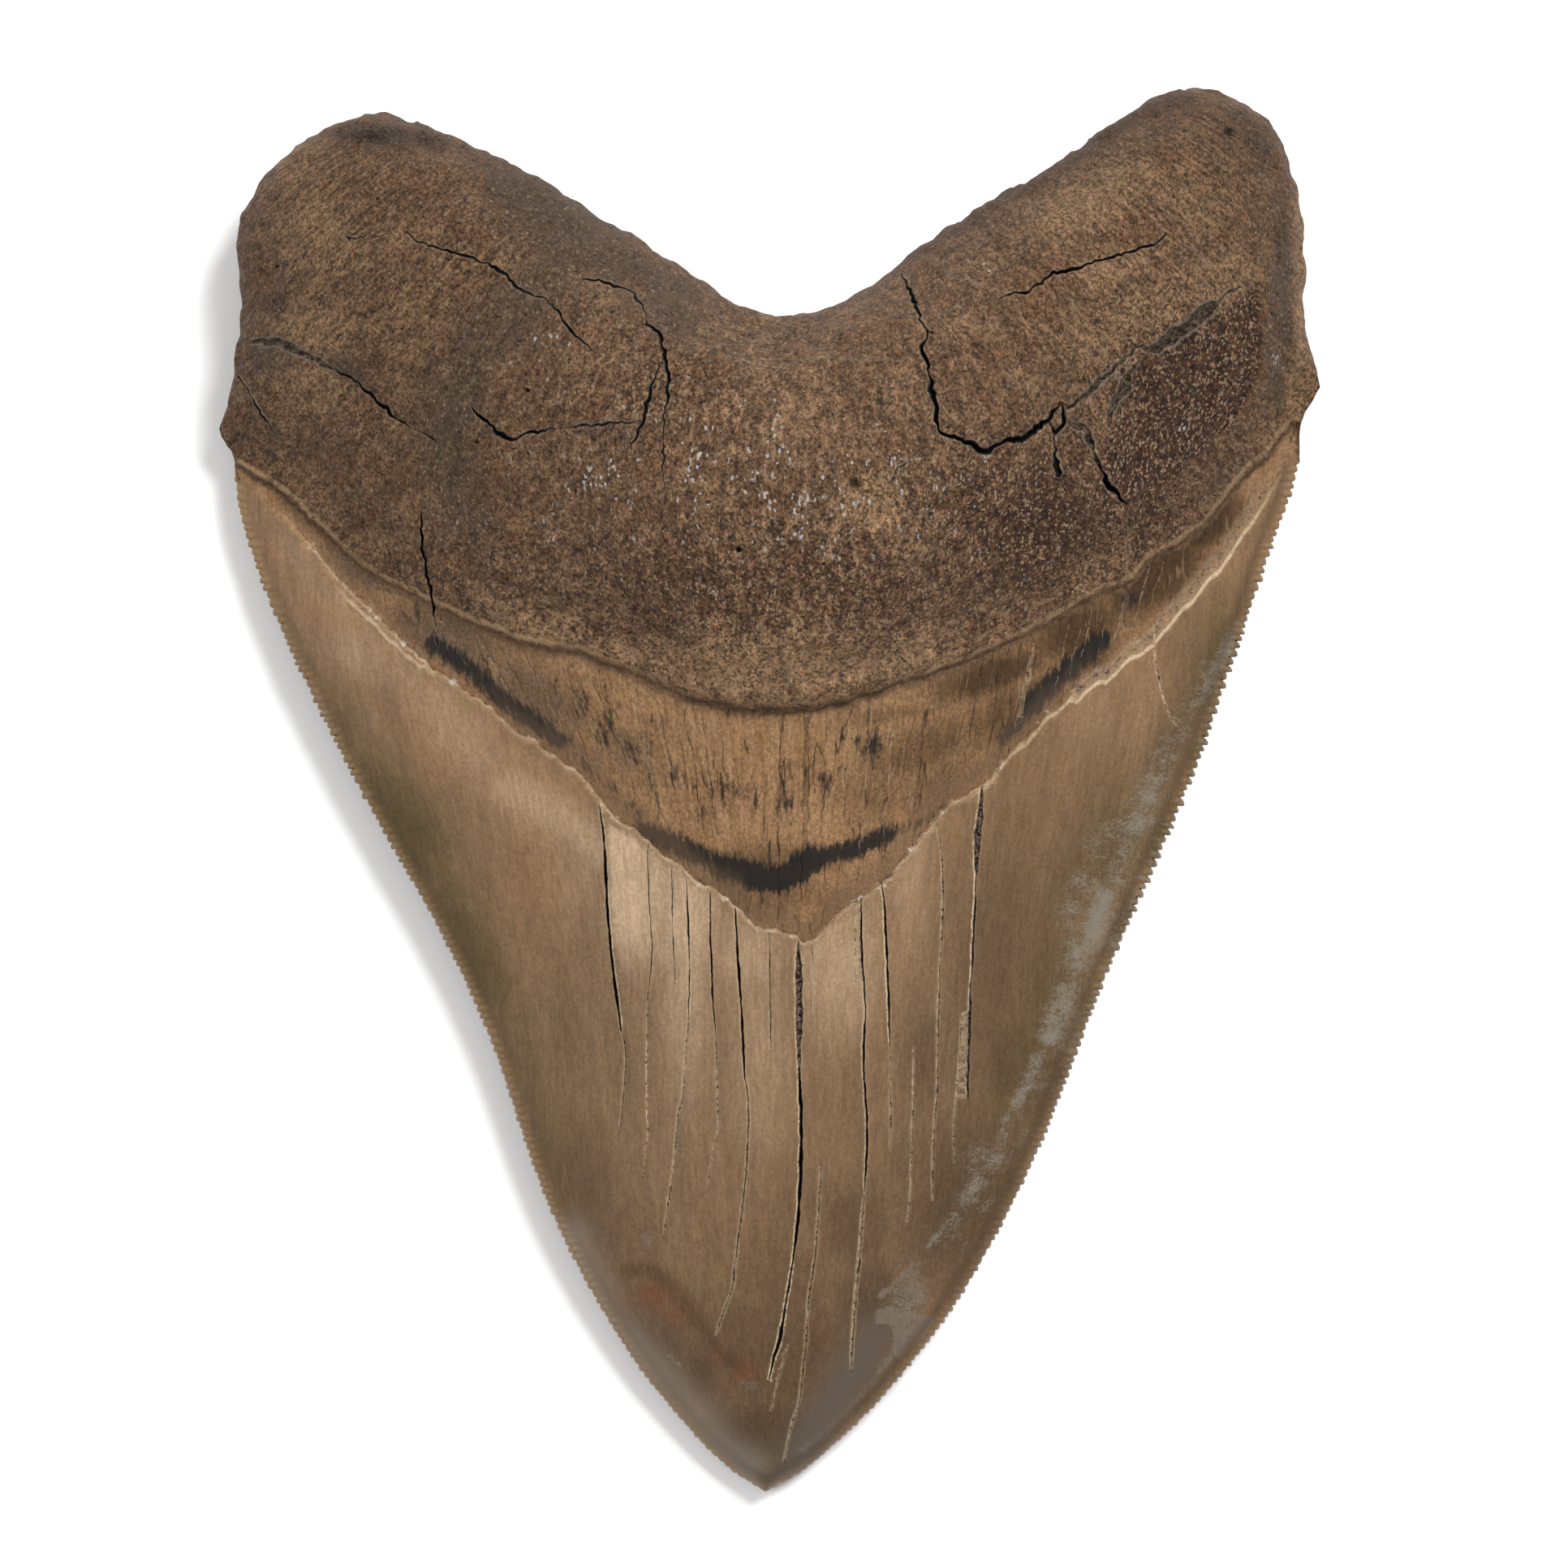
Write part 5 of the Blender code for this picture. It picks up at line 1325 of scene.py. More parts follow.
def ledge_masks(x, below_ledge, root):
    """The broken edge of the enamel: its break, the grit in it, its pale brink with painted highlight and
    shadow, and the pale lip below.
    """
    width = ledge_width(x)
    fade = towards_shoulders(x)
    broken = smooth_step(below_ledge / 0.1 + 0.5) * smooth_step((width + 0.25 - below_ledge) / 0.25)
    thick = smooth_step((width - 0.5) / 0.5)
    return {
        "broken": broken * np.clip(1 - root, 0, 1) * fade * (0.6 + 0.4 * thick),
        "broken_grit": broken * thick * smooth_step(1.3 - below_ledge / (0.8 * width)),
        "broken_lip": strength_at(x, LIP_PLACES) * fade,
        "brink": strength_at(x, BRINK_PLACES) * fade,
        "below_foot": below_ledge - width,
    }


def edge_masks(x, y, from_edge):
    """The pale cusps of the cutting edges, and the dusky band inside them."""
    on_blade = y < SHOULDER_Y
    band = smooth_step(1 - np.abs(from_edge - 1.3))
    return {
        "cusps": smooth_step(1 - from_edge / 1.1) * on_blade * strength_at(x, CUSP_PLACES),
        "edge_shade": band * on_blade * strength_at(x, EDGE_SHADE_PLACES),
    }


def paint_masks(points, on_inner, root, bourlette):
    """All that is painted on the points, by name."""
    flat = points[:, :2]
    x, y = flat.T
    above_rim = above(rim_curve(), x, y)
    below_ledge = -above(ledge_curve(), x, y)
    masks = {
        **rim_masks(x, above_rim, below_ledge, root, bourlette),
        **ledge_masks(x, below_ledge, root),
        **edge_masks(x, y, distance_to([edge_line(0), edge_line(1)], flat)),
    }
    parts = {"root": root, "bourlette": bourlette, "enamel": 1 - root - bourlette, "all": 1}
    for name, part, spots, lines, areas in PAINTINGS:
        masks[name] = painted(flat, spots, lines, areas) * parts[part]
    # The pale panel is pale enamel with a painted highlight
    panel_and_highlight = painted(flat, areas=PALE_PANEL_AND_HIGHLIGHT) * strength_at(y, PALE_PANEL_AND_HIGHLIGHT_STRENGTH)
    masks["pale"] = np.maximum(masks["pale"], panel_and_highlight * parts["enamel"])
    masks["broken"] = np.maximum(masks["broken"], painted(flat, areas=CHIP))
    for name in INNER_ONLY:
        masks[name] = masks[name] * on_inner
    return masks


def fibre_places(points, root, bourlette):
    """Places along the streaks, which fan out from the notch on the root and converge below it."""
    x, y, z = points.T
    fan = FAN_WIDTH * x / (FAN_TOP - y)
    lean = np.where(bourlette > 0.5, fan_at(x), ENAMEL_FAN)
    straight = x * (1 + lean * np.clip(FAN_START - y, 0, FAN_LENGTH))
    return np.column_stack([np.where(root > 0.5, fan, straight), y, z])


def rim_places(points):
    """Place along the root's rim, distance above it and distance below the enamel's broken edge."""
    x, y, _ = points.T
    return np.column_stack([x, above(rim_curve(), x, y), -above(ledge_curve(), x, y)])


# ---- The material ----


LIGHT = 1.55  # how bright the studio makes a surface of albedo 1, and the veil that its gloss adds
VEIL = 0.018
DARKEST = 0.004


def seen(red, green, blue):
    """The base colour that looks like this, in ordinary 8-bit values, under the studio light."""
    linear = [((c / 255 + 0.055) / 1.055) ** 2.4 for c in (red, green, blue)]
    return tuple(max(c - VEIL, DARKEST) / LIGHT for c in linear) + (1,)


# The colours of each part, of its zones and stains, and of what fills the cracks
ROOT_BROWN = seen(139, 110, 86)
ROOT_DEEP = seen(102, 78, 60)
ROOT_RUST = seen(120, 88, 64)
ROOT_TAN = seen(160, 128, 97)
ROOT_ASH = seen(103, 86, 71)
ROOT_UMBER = seen(68, 46, 28)
ROOT_BLACK = seen(40, 28, 20)
GRAIN_PALE = seen(186, 156, 124)
MINERAL_WHITE = seen(216, 210, 206)
BOURLETTE_TAN = seen(163, 127, 93)
BOURLETTE_BROWN = seen(143, 109, 77)
BOURLETTE_GREY = seen(108, 88, 70)
BOURLETTE_OLIVE = seen(76, 57, 38)
STAIN_BLACK = seen(30, 25, 20)
ENAMEL_TAN = seen(146, 117, 89)
ENAMEL_BROWN = seen(134, 107, 81)
ENAMEL_OLIVE = seen(88, 76, 50)
ENAMEL_WARM = seen(166, 128, 92)
# Pale enamel, also the colour of the painted highlight left of the middle
ENAMEL_PALE_AND_HIGHLIGHT = seen(212, 182, 148)
ENAMEL_DUSK = seen(90, 73, 57)
ENAMEL_RUST = seen(126, 85, 62)
ARC_BROWN = seen(80, 62, 42)
CRUST_GREY = seen(134, 122, 109)
HAZE_GREY = seen(145, 137, 123)
SLATE = seen(108, 97, 86)
BAND_GREY = seen(150, 136, 121)
CUSP_TAN = seen(166, 134, 98)
CRACK_BLACK = seen(24, 18, 14)
GRIT_GREY = seen(126, 110, 92)
GRIT_DARK = seen(50, 41, 33)
CHALK_CREAM = seen(216, 191, 158)
BROKEN_TAN = seen(172, 141, 108)
RIM_CREAM = seen(204, 168, 129)

# How rough each part is. The enamel and the root have ranges, from worn to grainy places.
ENAMEL_ROUGHNESS = (0.34, 0.5)
BOURLETTE_ROUGHNESS = 0.55
ROOT_ROUGHNESS = (0.62, 0.85)
CRACK_ROUGHNESS = 0.9
GLOSS = 0.22
# How high the bumps of the material stand, in metres
ROOT_BUMP = 0.0005
FIBRE_BUMP = 0.00005
GRIT_BUMP = 0.0003


class Shader:
    """Short ways to make the material's nodes. Each returns the socket that the next one takes."""

    def __init__(self, name):
        self.material = bpy.data.materials.new(name)
        self.material.use_nodes = True
        self.tree = self.material.node_tree
        self.surface = self.tree.nodes["Principled BSDF"]
        self.attributes = {}
        position = self.tree.nodes.new("ShaderNodeTexCoord").outputs["Object"]
        self.place = self.stretched(position, 1 / MM, 1 / MM, 1 / MM)
        self.fibre = self.attribute("fibre", "Vector")
        self.rim_place = self.attribute("rim_place", "Vector")
        split = self.node("SeparateXYZ", {0: self.rim_place})
        self.above_rim, self.below_ledge = split.outputs["Y"], split.outputs["Z"]

    def put(self, socket, value):
        if isinstance(value, bpy.types.NodeSocket):
            self.tree.links.new(value, socket)
        else:
            socket.default_value = value

    def node(self, kind, inputs):
        node = self.tree.nodes.new("ShaderNode" + kind)
        for name, value in inputs.items():
            self.put(node.inputs[name], value)
        return node

    def attribute(self, name, output="Fac"):
        """A mask or a place that is stored on the mesh's points."""
        if (name, output) not in self.attributes:
            node = self.tree.nodes.new("ShaderNodeAttribute")
            node.attribute_name = name
            self.attributes[name, output] = node.outputs[output]
        return self.attributes[name, output]

    def stretched(self, vector, x, y, z):
        node = self.node("VectorMath", {0: vector, 1: (x, y, z)})
        node.operation = "MULTIPLY"
        return node.outputs[0]

    def noise(self, vector, scale, detail, roughness):
        inputs = {"Vector": vector, "Scale": scale, "Detail": detail, "Roughness": roughness}
        return self.node("TexNoise", inputs).outputs["Fac"]

    def fibrous(self, stretch, scale, detail, roughness):
        """Noise that is drawn out along the fibres."""
        return self.noise(self.stretched(self.fibre, 1, stretch, 1), scale, detail, roughness)

    def cell_tone(self, vector, scale):
        """A random value from 0 to 1 for each cell."""
        cells = self.node("TexVoronoi", {"Vector": vector, "Scale": scale})
        return self.node("SeparateColor", {0: cells.outputs["Color"]}).outputs[0]

    def math(self, operation, first, second=0.0):
        node = self.node("Math", {0: first, 1: second})
        node.operation = operation
        return node.outputs[0]

    def times(self, *factors):
        return reduce(lambda first, second: self.math("MULTIPLY", first, second), factors)

    def plus(self, *terms):
        return reduce(lambda first, second: self.math("ADD", first, second), terms)

    def centred(self, value, strength, middle=0.5):
        """How far the value is from its middle, times a strength."""
        return self.times(self.plus(value, -middle), strength)

    def ramp(self, value, low, high, start=0.0, end=1.0):
        """start where the value is below low and end above high, with a smooth step between."""
        inputs = {"Value": value, "From Min": low, "From Max": high, "To Min": start, "To Max": end}
        node = self.node("MapRange", inputs)
        node.interpolation_type = "SMOOTHSTEP"
        return node.outputs["Result"]

    def near_zero(self, value, outer, inner):
        """1 where the value is within the inner distance of 0, falling to 0 at the outer distance."""
        return self.ramp(self.math("ABSOLUTE", value), outer, inner)

    def band(self, value, middle, outer, inner):
        """The same around a middle other than 0."""
        return self.near_zero(self.plus(value, -middle), outer, inner)

    def ragged(self, name, noise, low, high, start=0.02, full=0.2):
        """A painted mask with ragged edges, which the noise doesn't spread beyond the mask."""
        mask = self.attribute(name)
        return self.times(self.ramp(self.plus(mask, noise), low, high), self.ramp(mask, start, full))

    def mix(self, share, first, second, blend="MIX"):
        node = self.tree.nodes.new("ShaderNodeMix")
        node.data_type = "RGBA"
        node.blend_type = blend
        for index, value in {0: share, 6: first, 7: second}.items():
            self.put(node.inputs[index], value)
        return node.outputs[2]

    def tint(self, colour, tint, *shares):
        """The colour with another over it, as strongly as the product of the shares."""
        return self.mix(self.times(*shares), colour, tint)

    def blend_values(self, share, first, second):
        return self.node("Mix", {0: share, 2: first, 3: second}).outputs[0]

    def bump(self, height, distance, normal=None):
        node = self.node("Bump", {"Distance": distance, "Height": height})
        if normal is not None:
            self.put(node.inputs["Normal"], normal)
        return node.outputs["Normal"]


def grains(s, vector, scale, stretch):
    """Grain from about 0 to 1, with 0.5 in the middle: crystals of one tone each, with soft noise."""
    stretched = s.stretched(vector, 1, stretch, 1)
    return s.blend_values(0.5, s.noise(stretched, scale, 3, 0.8), s.cell_tone(stretched, scale * 1.4))


def with_grain(s, colour, grain, strength, dark, light):
    """The colour with its grain: times dark in the deepest grains and times light on the highest."""
    tone = s.blend_values(strength, 1.0, s.ramp(grain, 0.24, 0.76, dark, light))
    return s.mix(1.0, colour, tone, "MULTIPLY")


def tinted(s, colour, noise, low, high, tints):
    """The colour with painted zones over it, each with ragged edges."""
    for name, tint, strength in tints:
        colour = s.tint(colour, tint, s.ragged(name, noise, low, high), strength)
    return colour


def root_ground(s, mottle):
    """The root's browns in their painted zones, with the streaks and bands of its fibres."""
    colour = s.mix(s.ramp(mottle, 0.3, 0.7), ROOT_DEEP, ROOT_BROWN)
    hue = s.noise(s.stretched(s.place, 1, 1.3, 0.7), 0.17, 5, 0.6)
    colour = s.tint(colour, ROOT_RUST, s.ramp(hue, 0.5, 0.64, 0, 0.5))
    colour = s.tint(colour, ROOT_TAN, s.ramp(hue, 0.46, 0.36, 0, 0.3))
    colour = tinted(s, colour, s.centred(mottle, 1.4), 0.15, 0.85, (
        ("root_light", ROOT_TAN, 0.8), ("root_dark", ROOT_DEEP, 0.85), ("root_grey", ROOT_ASH, 0.9),
    ))
    streaks = s.fibrous(0.13, 1.5, 4, 0.75)
    colour = with_grain(s, colour, streaks, s.ramp(s.attribute("streaked"), 0, 1, 0.3, 1.0), 0.45, 1.7)
    return with_grain(s, colour, s.fibrous(0.4, 0.5, 5, 0.7), 1.0, 0.7, 1.3)


def root_speckle(s, colour, mottle, grain):
    """The root's grain, dark pores and pale crystals, strongest where it is rough or has flaked off."""
    slab, speckled = s.attribute("slab_tone"), s.attribute("speckled")
    rough = s.math("MAXIMUM", speckled, slab)
    umber = s.math("MAXIMUM", slab, s.times(speckled, s.ramp(mottle, 0.66, 0.42)))
    colour = s.tint(colour, ROOT_UMBER, umber, s.ramp(mottle, 0.3, 0.7, 0.9, 0.5))
    strength = s.times(s.ramp(rough, 0, 1, 0.62, 1.0), s.ramp(s.attribute("root_grey"), 0, 1, 1, 0.75))
    colour = with_grain(s, colour, grain, strength, 0.2, 2.1)
    clumped = s.centred(mottle, 0.4)
    pores = s.plus(s.cell_tone(s.place, 3.8), s.times(rough, 0.12), s.times(clumped, -1))
    colour = s.tint(colour, ROOT_BLACK, s.ramp(pores, 0.91, 1.0, 0, 0.7))
    sparks = s.plus(s.cell_tone(s.stretched(s.place, 1, 0.7, 1), 5.2), s.times(rough, 0.15), clumped)
    return s.tint(colour, GRAIN_PALE, s.ramp(sparks, 0.92, 1.04, 0, 0.85))


def root_rim(s, colour, mottle):
    """Pale growth rings above the root's rim, and the pale frayed rim itself."""
    rings = s.noise(s.stretched(s.rim_place, 0.3, 1.5, 0), 1.0, 4, 0.7)
    colour = s.tint(colour, GRAIN_PALE, s.ramp(rings, 0.52, 0.64), s.attribute("rim_rings"), 0.6)
    frayed = s.plus(s.above_rim, s.centred(s.noise(s.place, 1.4, 4, 0.75), 0.7))
    uneven = s.ramp(mottle, 0.36, 0.56, 0.3, 1)
    return s.tint(colour, RIM_CREAM, s.band(frayed, 0.55, 0.4, 0.1), s.attribute("rim_light"), uneven, 0.95)


def root_deposits(s, colour, mottle, grain):
    """Grit beside the cracks, and white mineral flecks."""
    dust = s.ragged("dust", s.centred(mottle, 2.4), 0.4, 1.0, 0.05, 0.3)
    colour = s.tint(colour, CRUST_GREY, dust, 0.75)
    colour = with_grain(s, colour, grain, s.times(s.attribute("dust"), 0.6), 0.5, 1.4)
    clumps = s.times(s.attribute("mineral"), s.ramp(s.noise(s.place, 0.6, 4, 0.7), 0.42, 0.62))
    flecks = s.plus(s.cell_tone(s.stretched(s.place, 1, 0.6, 1), 4.0), s.times(clumps, 0.29))
    return s.tint(colour, MINERAL_WHITE, s.ramp(flecks, 0.985, 1.04, 0, 0.9))


def root_colour(s, grain):
    mottle = s.fibrous(0.75, 1.0, 4, 0.7)
    colour = root_speckle(s, root_ground(s, mottle), mottle, grain)
    soot = s.attribute("soot")
    sooty = s.plus(s.times(soot, 0.6), s.centred(grain, 1.3))
    colour = s.tint(colour, ROOT_BLACK, s.ramp(sooty, 0.42, 0.66), s.ramp(soot, 0.05, 0.3), 0.85)
    return root_deposits(s, root_rim(s, colour, mottle), mottle, grain)


def bourlette_colour(s, grain):
    """Tan and brown streaks in painted zones, fine clefts, black stains, and shade at both edges."""
    streaks = s.fibrous(0.1, 1.1, 4, 0.65)
    colour = s.mix(s.ramp(streaks, 0.35, 0.65), BOURLETTE_BROWN, BOURLETTE_TAN)
    colour = tinted(s, colour, s.centred(streaks, 0.8), 0.1, 0.85, (
        ("ashen", BOURLETTE_GREY, 0.85), ("shade", BOURLETTE_OLIVE, 0.95),
    ))
    colour = with_grain(s, colour, s.fibrous(0.2, 2.4, 4, 0.75), 1.0, 0.84, 1.17)
    colour = with_grain(s, colour, grain, 0.4, 0.4, 1.6)
    clefts = s.fibrous(0.12, 0.6, 2, 0.5)
    opened, healed = s.band(clefts, 0.5, 0.02, 0.006), s.band(clefts, 0.57, 0.02, 0.006)
    colour = s.tint(colour, CRACK_BLACK, opened, s.ramp(streaks, 0.5, 0.42), 0.7)
    colour = s.tint(colour, GRAIN_PALE, healed, s.ramp(streaks, 0.5, 0.58), 0.3)
    brush = s.centred(s.fibrous(0.25, 2.1, 5, 0.75), 3.2)
    colour = s.tint(colour, STAIN_BLACK, s.ragged("stain", brush, 0.35, 1.15, 0.03, 0.25), 0.95)
    colour = s.tint(colour, BOURLETTE_GREY, s.ragged("foot_shade", s.centred(streaks, 0.8), 0.2, 1.0), 0.5)
    return s.tint(colour, ROOT_BLACK, s.attribute("under_rim"))


def enamel_crusts(s, colour):
    """The worn grey haze along the right edge, and the pale crust near the tip."""
    fine = s.noise(s.place, 4.0, 3, 0.8)
    haze, crust = s.attribute("haze"), s.attribute("crust")
    wisps = s.plus(s.noise(s.stretched(s.place, 0.5, 1, 1), 0.8, 6, 0.8), fine)
    worn = s.times(haze, s.ramp(s.noise(s.place, 0.22, 3, 0.6), 0.36, 0.6, 0.55, 1.15))
    hazy = s.ramp(s.plus(worn, s.centred(wisps, 2.3, 1.0)), 0.25, 1.05)
    colour = s.tint(colour, HAZE_GREY, hazy, s.ramp(haze, 0.02, 0.4), 0.85)
    crumbling = s.plus(s.noise(s.place, 0.9, 6, 0.8), fine)
    chalky = s.ramp(s.plus(s.times(crust, 0.95), s.centred(crumbling, 2.1, 1.0)), 0.3, 1.0)
    return s.tint(colour, CRUST_GREY, chalky, s.ramp(crust, 0.08, 0.4), 0.85)


def enamel_colour(s, grain):
    """Fine streaks in painted zones, bands near the tip, haze and crust, and the colour of the edges."""
    streaks = s.fibrous(0.05, 0.5, 4, 0.55)
    colour = s.mix(s.ramp(streaks, 0.3, 0.7), ENAMEL_BROWN, ENAMEL_TAN)
    cloud = s.noise(s.stretched(s.place, 1, 0.6, 1), 0.16, 5, 0.6)
    # The pale zone left of the middle is partly a painted highlight
    colour = tinted(s, colour, s.centred(cloud, 0.32), 0.05, 0.95, (
        ("dusky", ENAMEL_DUSK, 0.85), ("olive", ENAMEL_OLIVE, 0.9), ("warm", ENAMEL_WARM, 0.8),
        ("pale", ENAMEL_PALE_AND_HIGHLIGHT, 0.9), ("rust", ENAMEL_RUST, 0.85), ("arc", ARC_BROWN, 0.8),
    ))
    colour = with_grain(s, colour, s.fibrous(0.07, 2.6, 2, 0.6), 1.0, 0.86, 1.15)
    colour = with_grain(s, colour, grain, 1.0, 0.9, 1.12)
    colour = s.tint(colour, SLATE, s.attribute("slate"), s.ramp(cloud, 0.3, 0.6, 0.75, 0.95))
    colour = s.tint(colour, BAND_GREY, s.attribute("tip_band"), s.ramp(cloud, 0.3, 0.6, 0.65, 0.85))
    colour = s.tint(enamel_crusts(s, colour), ENAMEL_DUSK, s.attribute("edge_shade"), 0.6)
    return s.tint(colour, CUSP_TAN, s.attribute("cusps"), 0.7)


def broken_edge(s, colour, crumbs, frayed, grit_colour):
    """The enamel's broken edge: tan and gritty breaks, a pale foot, and a pale brink with painted highlight
    under painted shadow.
    """
    brink = s.attribute("brink")
    colour = s.tint(colour, BROKEN_TAN, s.attribute("broken"), s.ramp(crumbs, 0.38, 0.55, 0.15, 0.85))
    colour = s.tint(colour, grit_colour, s.attribute("broken_grit"), s.ramp(crumbs, 0.45, 0.6))
    foot = s.near_zero(s.plus(s.attribute("below_foot"), frayed), 0.26, 0.08)
    colour = s.tint(colour, CHALK_CREAM, foot, s.attribute("broken_lip"), s.ramp(crumbs, 0.34, 0.5, 0.3, 1))
    below = s.plus(s.below_ledge, s.plus(frayed, s.centred(s.noise(s.place, 1.0, 3, 0.7), 0.5)))
    # A painted shadow line just above the broken edge, and below it the pale brink, partly a painted
    # highlight
    painted_shadow_line = s.band(below, -0.16, 0.18, 0.05)
    colour = s.tint(colour, CRACK_BLACK, painted_shadow_line, brink, s.ramp(crumbs, 0.45, 0.6), 0.6)
    uneven = s.ramp(s.noise(s.place, 0.6, 4, 0.75), 0.4, 0.62, 0.1, 0.95)
    colour = s.tint(colour, CHALK_CREAM, s.band(below, 0.1, 0.2, 0.07), brink, uneven)
    patches = s.ramp(s.noise(s.place, 0.3, 3, 0.6), 0.52, 0.58)
    bits = s.times(s.ramp(s.cell_tone(s.place, 2.4), 0.82, 0.9), patches)
    return s.tint(colour, MINERAL_WHITE, bits, s.band(below, 0.1, 0.5, 0.25), brink, 0.9)


def inside_cracks(s, frayed):
    """How far beyond a crack's side each place is, and 1 inside the cracks."""
    jagged = s.times(frayed, s.ramp(s.attribute("crack_width"), 0.03, 0.3, 0.35, 1.6))
    beyond = s.plus(s.math("SUBTRACT", s.attribute("crack_away"), s.attribute("crack_width")), jagged)
    return beyond, s.ramp(beyond, 0.06, -0.04)


def cracks_and_pits(s, colour, crumbs, beyond, inside, grit, grit_colour):
    """The cracks' pale lips, their chalky, gritty or dark fillings, and the dark pits."""
    crumbling = s.ramp(crumbs, 0.4, 0.52, 0.3, 1)
    colour = s.tint(colour, CHALK_CREAM, s.ramp(beyond, 0.24, 0.1), s.attribute("crack_lip"), crumbling)
    chalk_colour = s.mix(s.ramp(grit, 0.3, 0.38, 0.1, 1), CRACK_BLACK, CHALK_CREAM)
    chalk = s.times(s.attribute("crack_chalk"), s.ramp(crumbs, 0.36, 0.5, 0.4, 1))
    colour = s.tint(colour, chalk_colour, chalk, inside)
    colour = s.tint(colour, grit_colour, s.attribute("crack_grit"), inside)
    colour = s.tint(colour, CRACK_BLACK, s.attribute("crack_dark"), inside)
    return s.tint(colour, CRACK_BLACK, s.attribute("pit"), 0.8)


def roughness(s, root, bourlette, grain, inside):
    worn = s.noise(s.place, 0.8, 5, 0.6)
    rough = s.blend_values(bourlette, s.ramp(worn, 0.3, 0.7, *ENAMEL_ROUGHNESS), BOURLETTE_ROUGHNESS)
    rough = s.blend_values(root, rough, s.ramp(grain, 0.3, 0.7, *ROOT_ROUGHNESS))
    return s.blend_values(inside, rough, CRACK_ROUGHNESS)


def fine_relief(s, root, bourlette, grain, grit, inside):
    """Bumps too fine for the mesh: the root's grain, the other parts' fibres, and the fillings' grit."""
    coarse = s.plus(s.fibrous(0.8, 1.8, 4, 0.85), s.times(grain, 0.4))
    normal = s.bump(s.times(coarse, root), ROOT_BUMP)
    fibres = s.times(s.fibrous(0.12, 3.2, 4, 0.6), s.math("SUBTRACT", 1.0, root))
    normal = s.bump(s.times(fibres, s.blend_values(bourlette, 0.35, 1.0)), FIBRE_BUMP, normal)
    gritty = s.math("MAXIMUM", s.times(s.attribute("crack_grit"), inside), s.attribute("broken_grit"))
    return s.bump(s.times(grit, gritty), GRIT_BUMP, normal)


def fossil_material():
    s = Shader("Fossil tooth")
    root, bourlette = s.attribute("root"), s.attribute("bourlette")
    grain = s.blend_values(root, grains(s, s.fibre, 2.8, 0.85), grains(s, s.place, 3.3, 0.8))
    colour = s.mix(bourlette, enamel_colour(s, grain), bourlette_colour(s, grain))
    colour = s.mix(root, colour, root_colour(s, grain))

    grit = grains(s, s.place, 2.6, 1)
    grit_colour = s.mix(s.ramp(grit, 0.35, 0.65), GRIT_DARK, GRIT_GREY)
    crumbs = s.noise(s.place, 1.6, 4, 0.7)
    frayed = s.centred(s.noise(s.place, 3.5, 3, 0.7), 0.24)
    beyond, inside = inside_cracks(s, frayed)
    colour = broken_edge(s, colour, crumbs, frayed, grit_colour)
    colour = cracks_and_pits(s, colour, crumbs, beyond, inside, grit, grit_colour)

    s.put(s.surface.inputs["Base Color"], colour)
    s.put(s.surface.inputs["Roughness"], roughness(s, root, bourlette, grain, inside))
    s.put(s.surface.inputs["Normal"], fine_relief(s, root, bourlette, grain, grit, inside))
    s.surface.inputs["Specular IOR Level"].default_value = GLOSS
    return s.material


# ---- The scene ----


# The texture's size in pixels, and the scales, in pixels a millimetre, and corners of its two islands
TEXTURE = 1024
UPPER_SCALE, UPPER_CORNER = 6.6, (6, 6)
LOWER_SCALE, LOWER_CORNER = 4.0, (558, 6)
SHARP_ANGLE = 55  # edges with a sharper turn than this, in degrees, aren't smoothed


def add_masks(mesh, masks, vectors):
    for name, values in masks.items():
        layer = mesh.attributes.new(name, "FLOAT", "POINT")
        layer.data.foreach_set("value", values.astype(np.float32))
    for name, values in vectors.items():
        layer = mesh.attributes.new(name, "FLOAT_VECTOR", "POINT")
        layer.data.foreach_set("vector", values.astype(np.float32).ravel())


def add_layout(mesh, points, faces, on_inner):
    """The texture's layout: the inner face large, and the outer face smaller and upside down beside it."""
    x, y = points[:, 0] - points[:, 0].min(), points[:, 1]
    upper = np.column_stack([x, y - y.min()]) * UPPER_SCALE + UPPER_CORNER
    lower = np.column_stack([x, y.max() - y]) * LOWER_SCALE + LOWER_CORNER
    is_upper = on_inner[faces].any(axis=1)[:, None, None]
    layout = np.where(is_upper, upper[faces], lower[faces]) / TEXTURE
    layer = mesh.uv_layers.new(name="OFBake")
    layer.data.foreach_set("uv", layout.astype(np.float32).ravel())


def build_tooth():
    low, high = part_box(NODE)
    points, faces, masks, on_inner = tooth_surface()
    fibre = fibre_places(points, masks["root"], masks["bourlette"])
    vectors = {"fibre": fibre, "rim_place": rim_places(points)}
    shift = np.array([(low.x + high.x) / 2 / MM, low.y / MM - TIP[1], 0])
    mesh = bpy.data.meshes.new("tooth_surface")
    mesh.from_pydata(((points + shift) * MM).tolist(), [], faces.tolist())
    mesh.validate()
    add_masks(mesh, masks, vectors)
    add_layout(mesh, points, faces, on_inner)
    mesh.materials.append(fossil_material())
    mesh.shade_smooth()
    mesh.set_sharp_from_angle(angle=math.radians(SHARP_ANGLE))
    tooth = bpy.data.objects.new("tooth_surface", mesh)
    bpy.context.scene.collection.objects.link(tooth)
    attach(tooth, BODY)
    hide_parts(NODE)
    return tooth


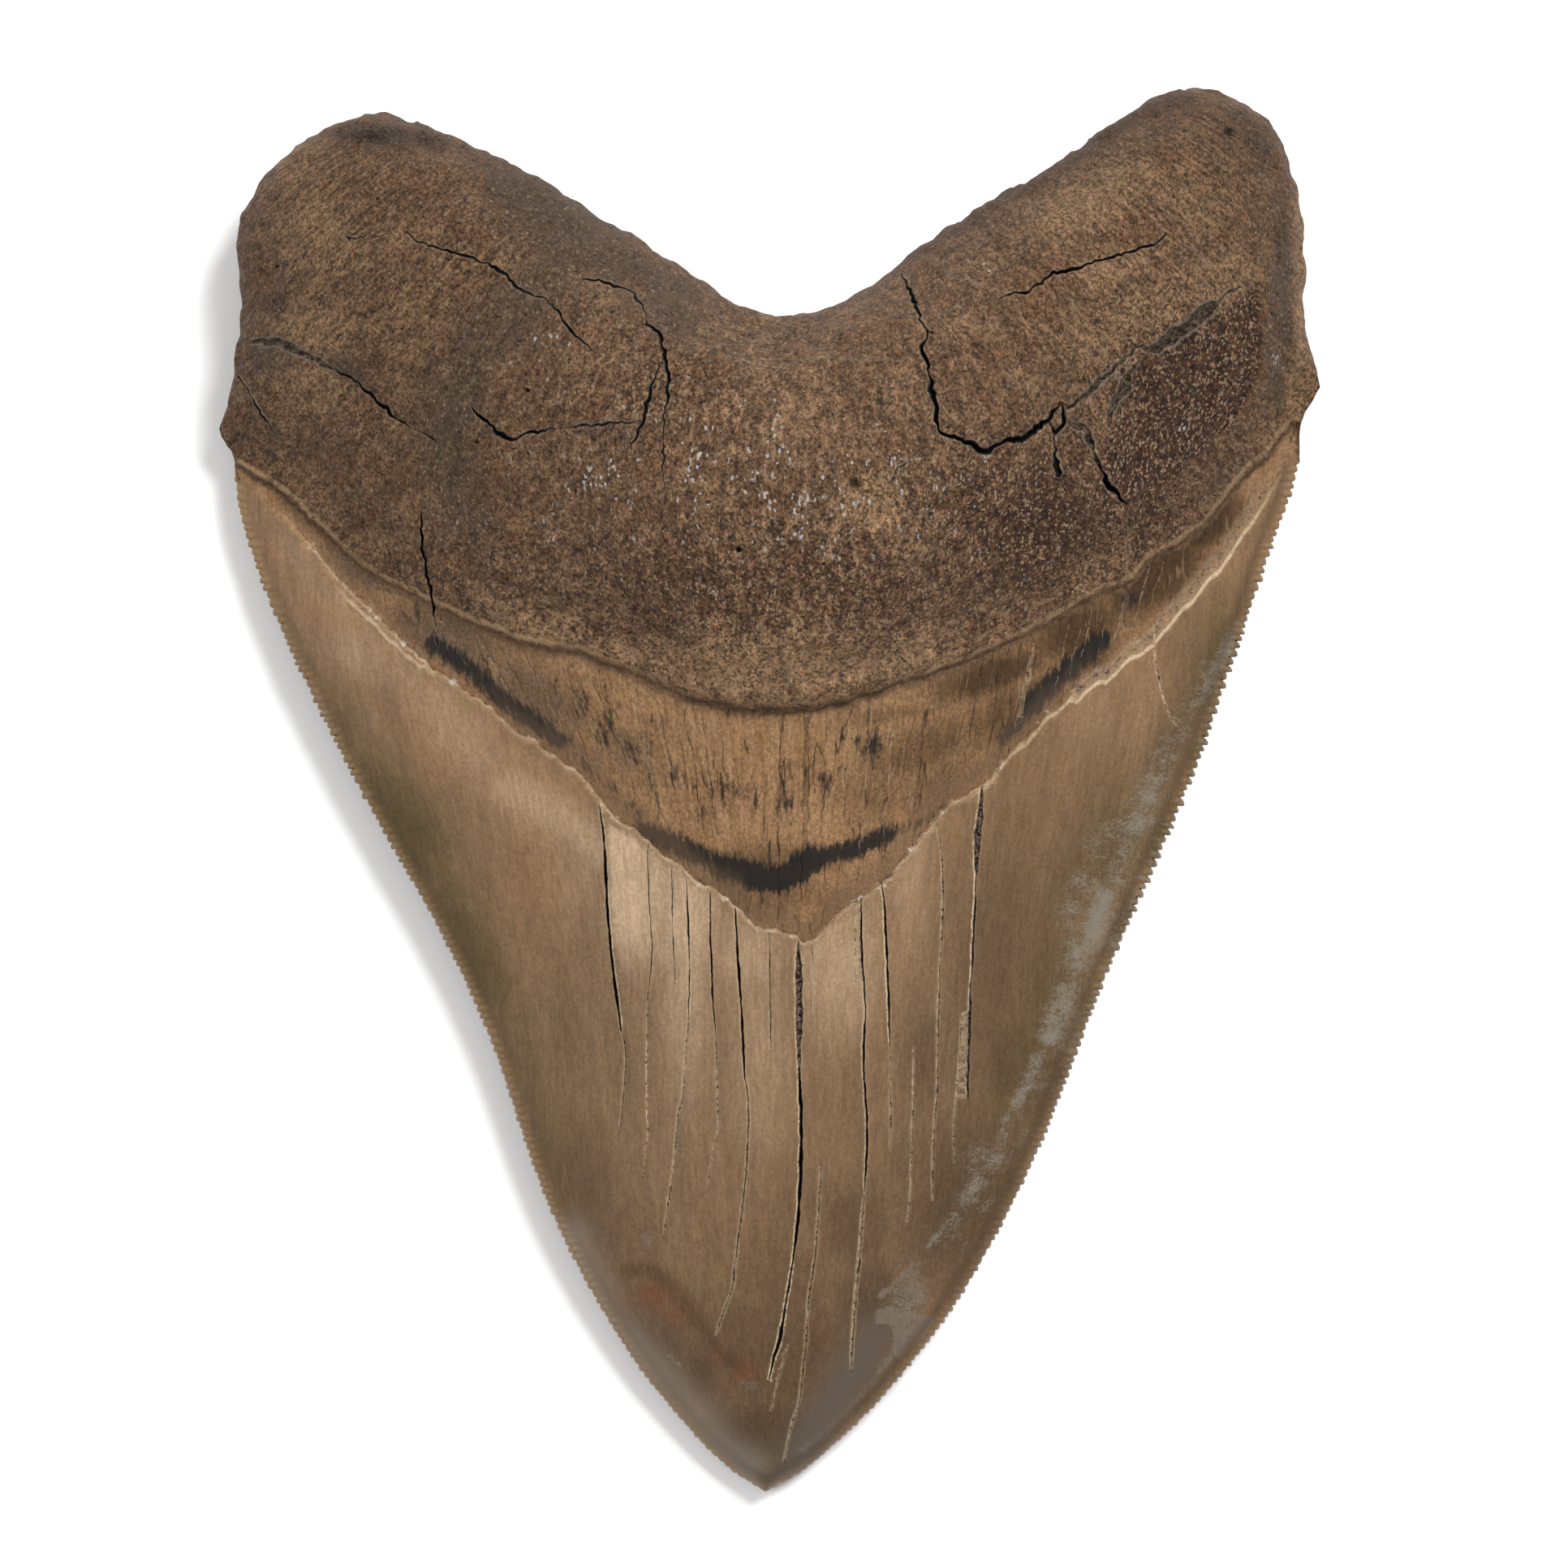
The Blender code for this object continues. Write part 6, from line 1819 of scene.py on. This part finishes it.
CAMERA_HEIGHT = 0.6843
CAMERA_AIM = (0.00164, 0.0010)
LENS = 150
SENSOR = 36
FLOOR_SIZE = 3.0
FLOOR_COLOUR = (0.93, 0.93, 0.93, 1)
FLOOR_ROUGHNESS = 0.9
LIGHT_DISTANCE = 1.2
KEY_DIRECTION = (0.42, 0.52, 0.74)
KEY_SIZE = 0.42
KEY_POWER = 16.4
FILL_DIRECTION = (-0.75, 0.1, 0.65)
FILL_SIZE = 0.9
FILL_POWER = 4.2
SKY_STRENGTH = 0.62


def add_camera():
    camera = bpy.data.cameras.new("camera")
    camera.lens = LENS
    camera.sensor_width = SENSOR
    holder = bpy.data.objects.new("camera", camera)
    holder.location = (*CAMERA_AIM, CAMERA_HEIGHT)
    bpy.context.scene.collection.objects.link(holder)
    bpy.context.scene.camera = holder


def add_light(name, direction, size, power):
    light = bpy.data.lights.new(name, "AREA")
    light.shape = "SQUARE"
    light.size = size
    light.energy = power
    holder = bpy.data.objects.new(name, light)
    away = Vector(direction).normalized()
    holder.location = away * LIGHT_DISTANCE
    holder.rotation_euler = away.to_track_quat("Z", "Y").to_euler()
    bpy.context.scene.collection.objects.link(holder)


def add_floor():
    half = FLOOR_SIZE / 2
    mesh = bpy.data.meshes.new("floor")
    corners = [(-half, -half, 0), (half, -half, 0), (half, half, 0), (-half, half, 0)]
    mesh.from_pydata(corners, [], [(0, 1, 2, 3)])
    material = bpy.data.materials.new("Floor")
    material.use_nodes = True
    surface = material.node_tree.nodes["Principled BSDF"]
    surface.inputs["Base Color"].default_value = FLOOR_COLOUR
    surface.inputs["Roughness"].default_value = FLOOR_ROUGHNESS
    surface.inputs["Specular IOR Level"].default_value = 0.0
    mesh.materials.append(material)
    floor = bpy.data.objects.new("floor", mesh)
    bpy.context.scene.collection.objects.link(floor)


def light_scene():
    world = bpy.data.worlds.new("studio")
    world.use_nodes = True
    sky = world.node_tree.nodes["Background"]
    sky.inputs["Color"].default_value = (1, 1, 1, 1)
    sky.inputs["Strength"].default_value = SKY_STRENGTH
    bpy.context.scene.world = world
    bpy.context.scene.view_settings.view_transform = "Standard"
    add_light("key", KEY_DIRECTION, KEY_SIZE, KEY_POWER)
    add_light("fill", FILL_DIRECTION, FILL_SIZE, FILL_POWER)


build_tooth()
add_floor()
add_camera()
light_scene()
